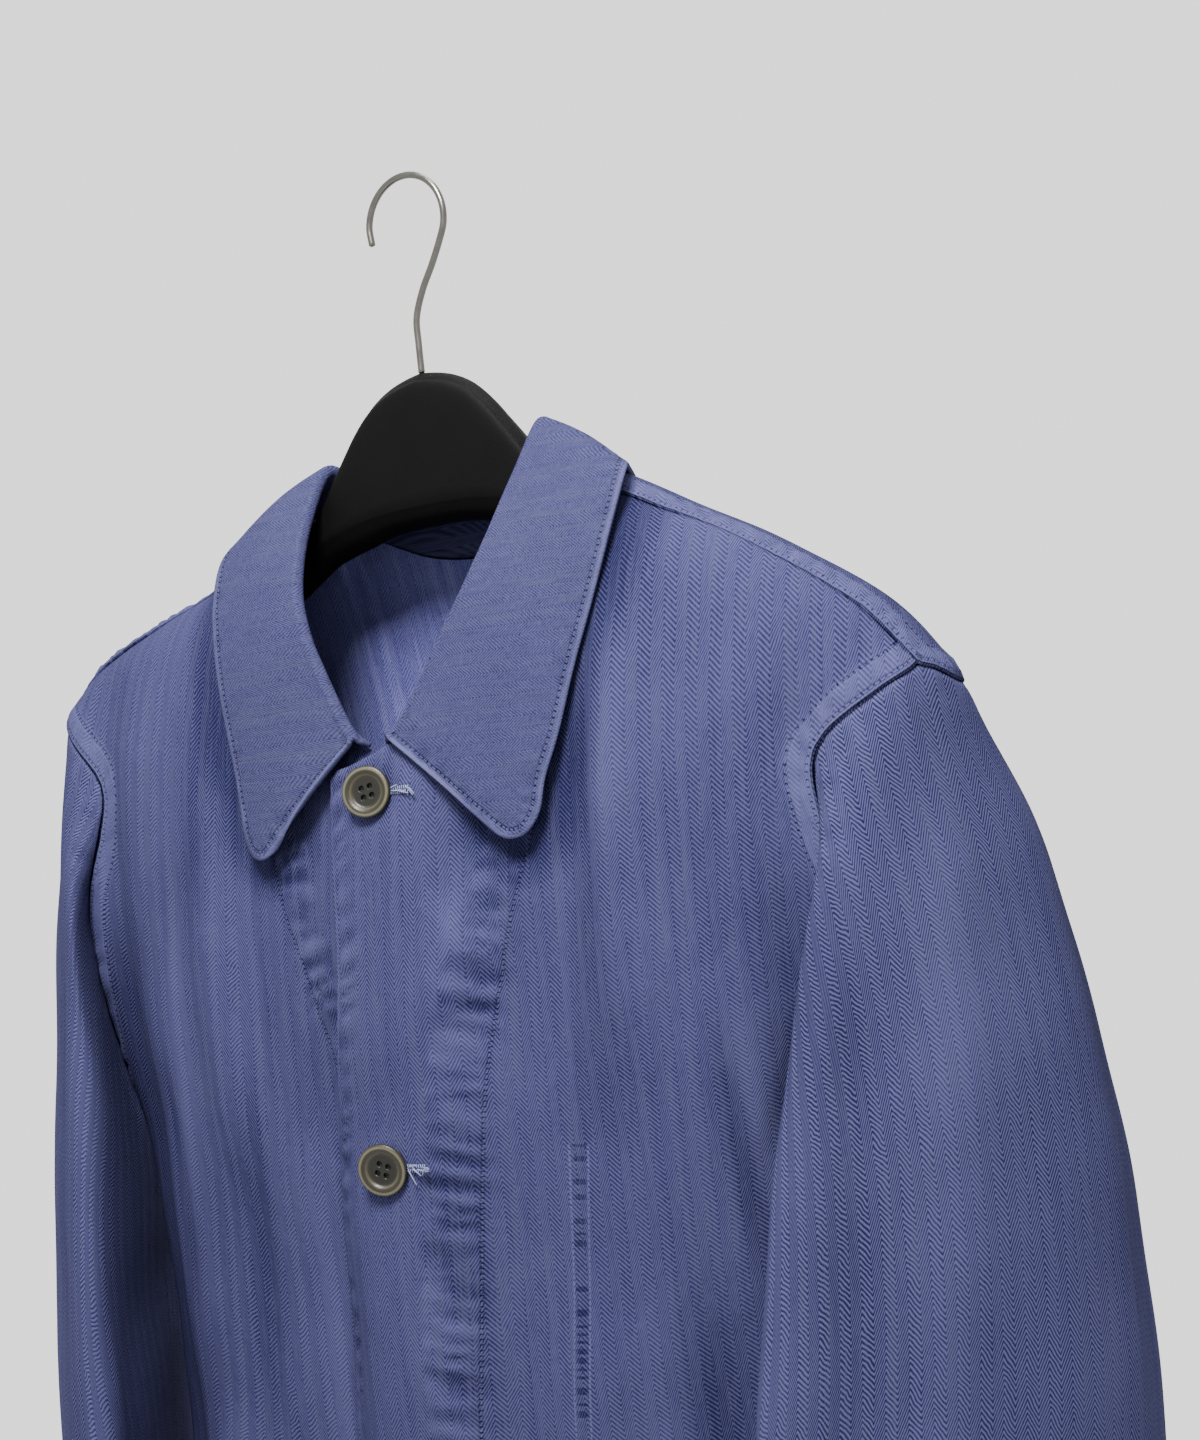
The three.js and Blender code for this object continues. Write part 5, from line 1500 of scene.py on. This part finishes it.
class JACKET_OT_stage(bpy.types.Operator):
    """Pale floor, soft light and the camera"""
    bl_idname = "jacket.stage"
    bl_label = "Stage"

    def execute(self, context):
        bm = bmesh.new()
        bmesh.ops.create_circle(bm, cap_ends=True, segments=96, radius=FLOOR_RADIUS)
        bmesh.ops.translate(bm, vec=(0, 0, sizes().floor_drop), verts=bm.verts)
        mesh = bpy.data.meshes.new("floor")
        bm.to_mesh(mesh)
        bm.free()
        floor = bpy.data.objects.new("floor", mesh)
        context.collection.objects.link(floor)
        nodes = Nodes("pale floor")
        tone = nodes.mix(nodes.noise(nodes.place(), 0.003), FLOOR_DULL, FLOOR_PALE)
        mesh.materials.append(nodes.finish({"Base Color": tone, "Roughness": 0.9}))

        world = bpy.data.worlds.new("studio")
        world.use_nodes = True
        background = world.node_tree.nodes["Background"]
        background.inputs["Color"].default_value = (*colours().backdrop, 1)
        background.inputs["Strength"].default_value = STUDIO_LIGHT
        context.scene.world = world
        for name, place, size, power, tint in LAMPS:
            lamp = bpy.data.lights.new(name, "AREA")
            lamp.shape = "SQUARE"
            lamp.size = size
            lamp.energy = power
            lamp.color = tint
            light = bpy.data.objects.new(name, lamp)
            light.location = place
            light.rotation_euler = (LAMPS_AIM - Vector(place)).to_track_quat("-Z", "Y").to_euler()
            context.collection.objects.link(light)

        azimuth, elevation, roll = (math.radians(angle) for angle in CAMERA_TURNS)
        level = math.cos(elevation)
        back = Vector((math.sin(azimuth) * level, -math.cos(azimuth) * level, math.sin(elevation)))
        right = Vector((math.cos(azimuth), math.sin(azimuth), 0))
        up = back.cross(right)
        across = right * math.cos(roll) + up * math.sin(roll)
        upright = up * math.cos(roll) - right * math.sin(roll)
        lens = bpy.data.cameras.new("camera")
        lens.lens = CAMERA_LENS
        camera = bpy.data.objects.new("camera", lens)
        turn = Matrix((across, upright, back)).transposed().to_4x4()
        camera.matrix_world = Matrix.Translation(CAMERA_AIM + back * CAMERA_DISTANCE) @ turn
        context.collection.objects.link(camera)
        context.scene.camera = camera
        return {"FINISHED"}


PARTS = (
    JACKET_OT_stage, JACKET_OT_fronts, JACKET_OT_back, JACKET_OT_sleeves, JACKET_OT_collar,
    JACKET_OT_buttons, JACKET_OT_buttonholes, JACKET_OT_hanger, JACKET_OT_hook,
)


class JACKET_PT_parts(bpy.types.Panel):
    """Lists what can be built, with its sizes and colours"""
    bl_idname = "JACKET_PT_parts"
    bl_label = "Chore jacket"
    bl_space_type = "VIEW_3D"
    bl_region_type = "UI"
    bl_category = "Jacket"

    def draw(self, context):
        for part in PARTS:
            self.layout.operator(part.bl_idname)
        for group in (context.scene.jacket_sizes, context.scene.jacket_colours):
            for name in group.__annotations__:
                self.layout.prop(group, name)


CLASSES = (JacketSizes, JacketColours, *PARTS, JACKET_PT_parts)


def register():
    for entry in CLASSES:
        bpy.utils.register_class(entry)
    bpy.types.Scene.jacket_sizes = PointerProperty(type=JacketSizes)
    bpy.types.Scene.jacket_colours = PointerProperty(type=JacketColours)


def unregister():
    del bpy.types.Scene.jacket_colours
    del bpy.types.Scene.jacket_sizes
    for entry in reversed(CLASSES):
        bpy.utils.unregister_class(entry)


def main():
    register()
    for part in PARTS:
        group, name = part.bl_idname.split(".")
        getattr(getattr(bpy.ops, group), name)()
    bpy.context.view_layer.update()


if __name__ == "__main__":
    main()
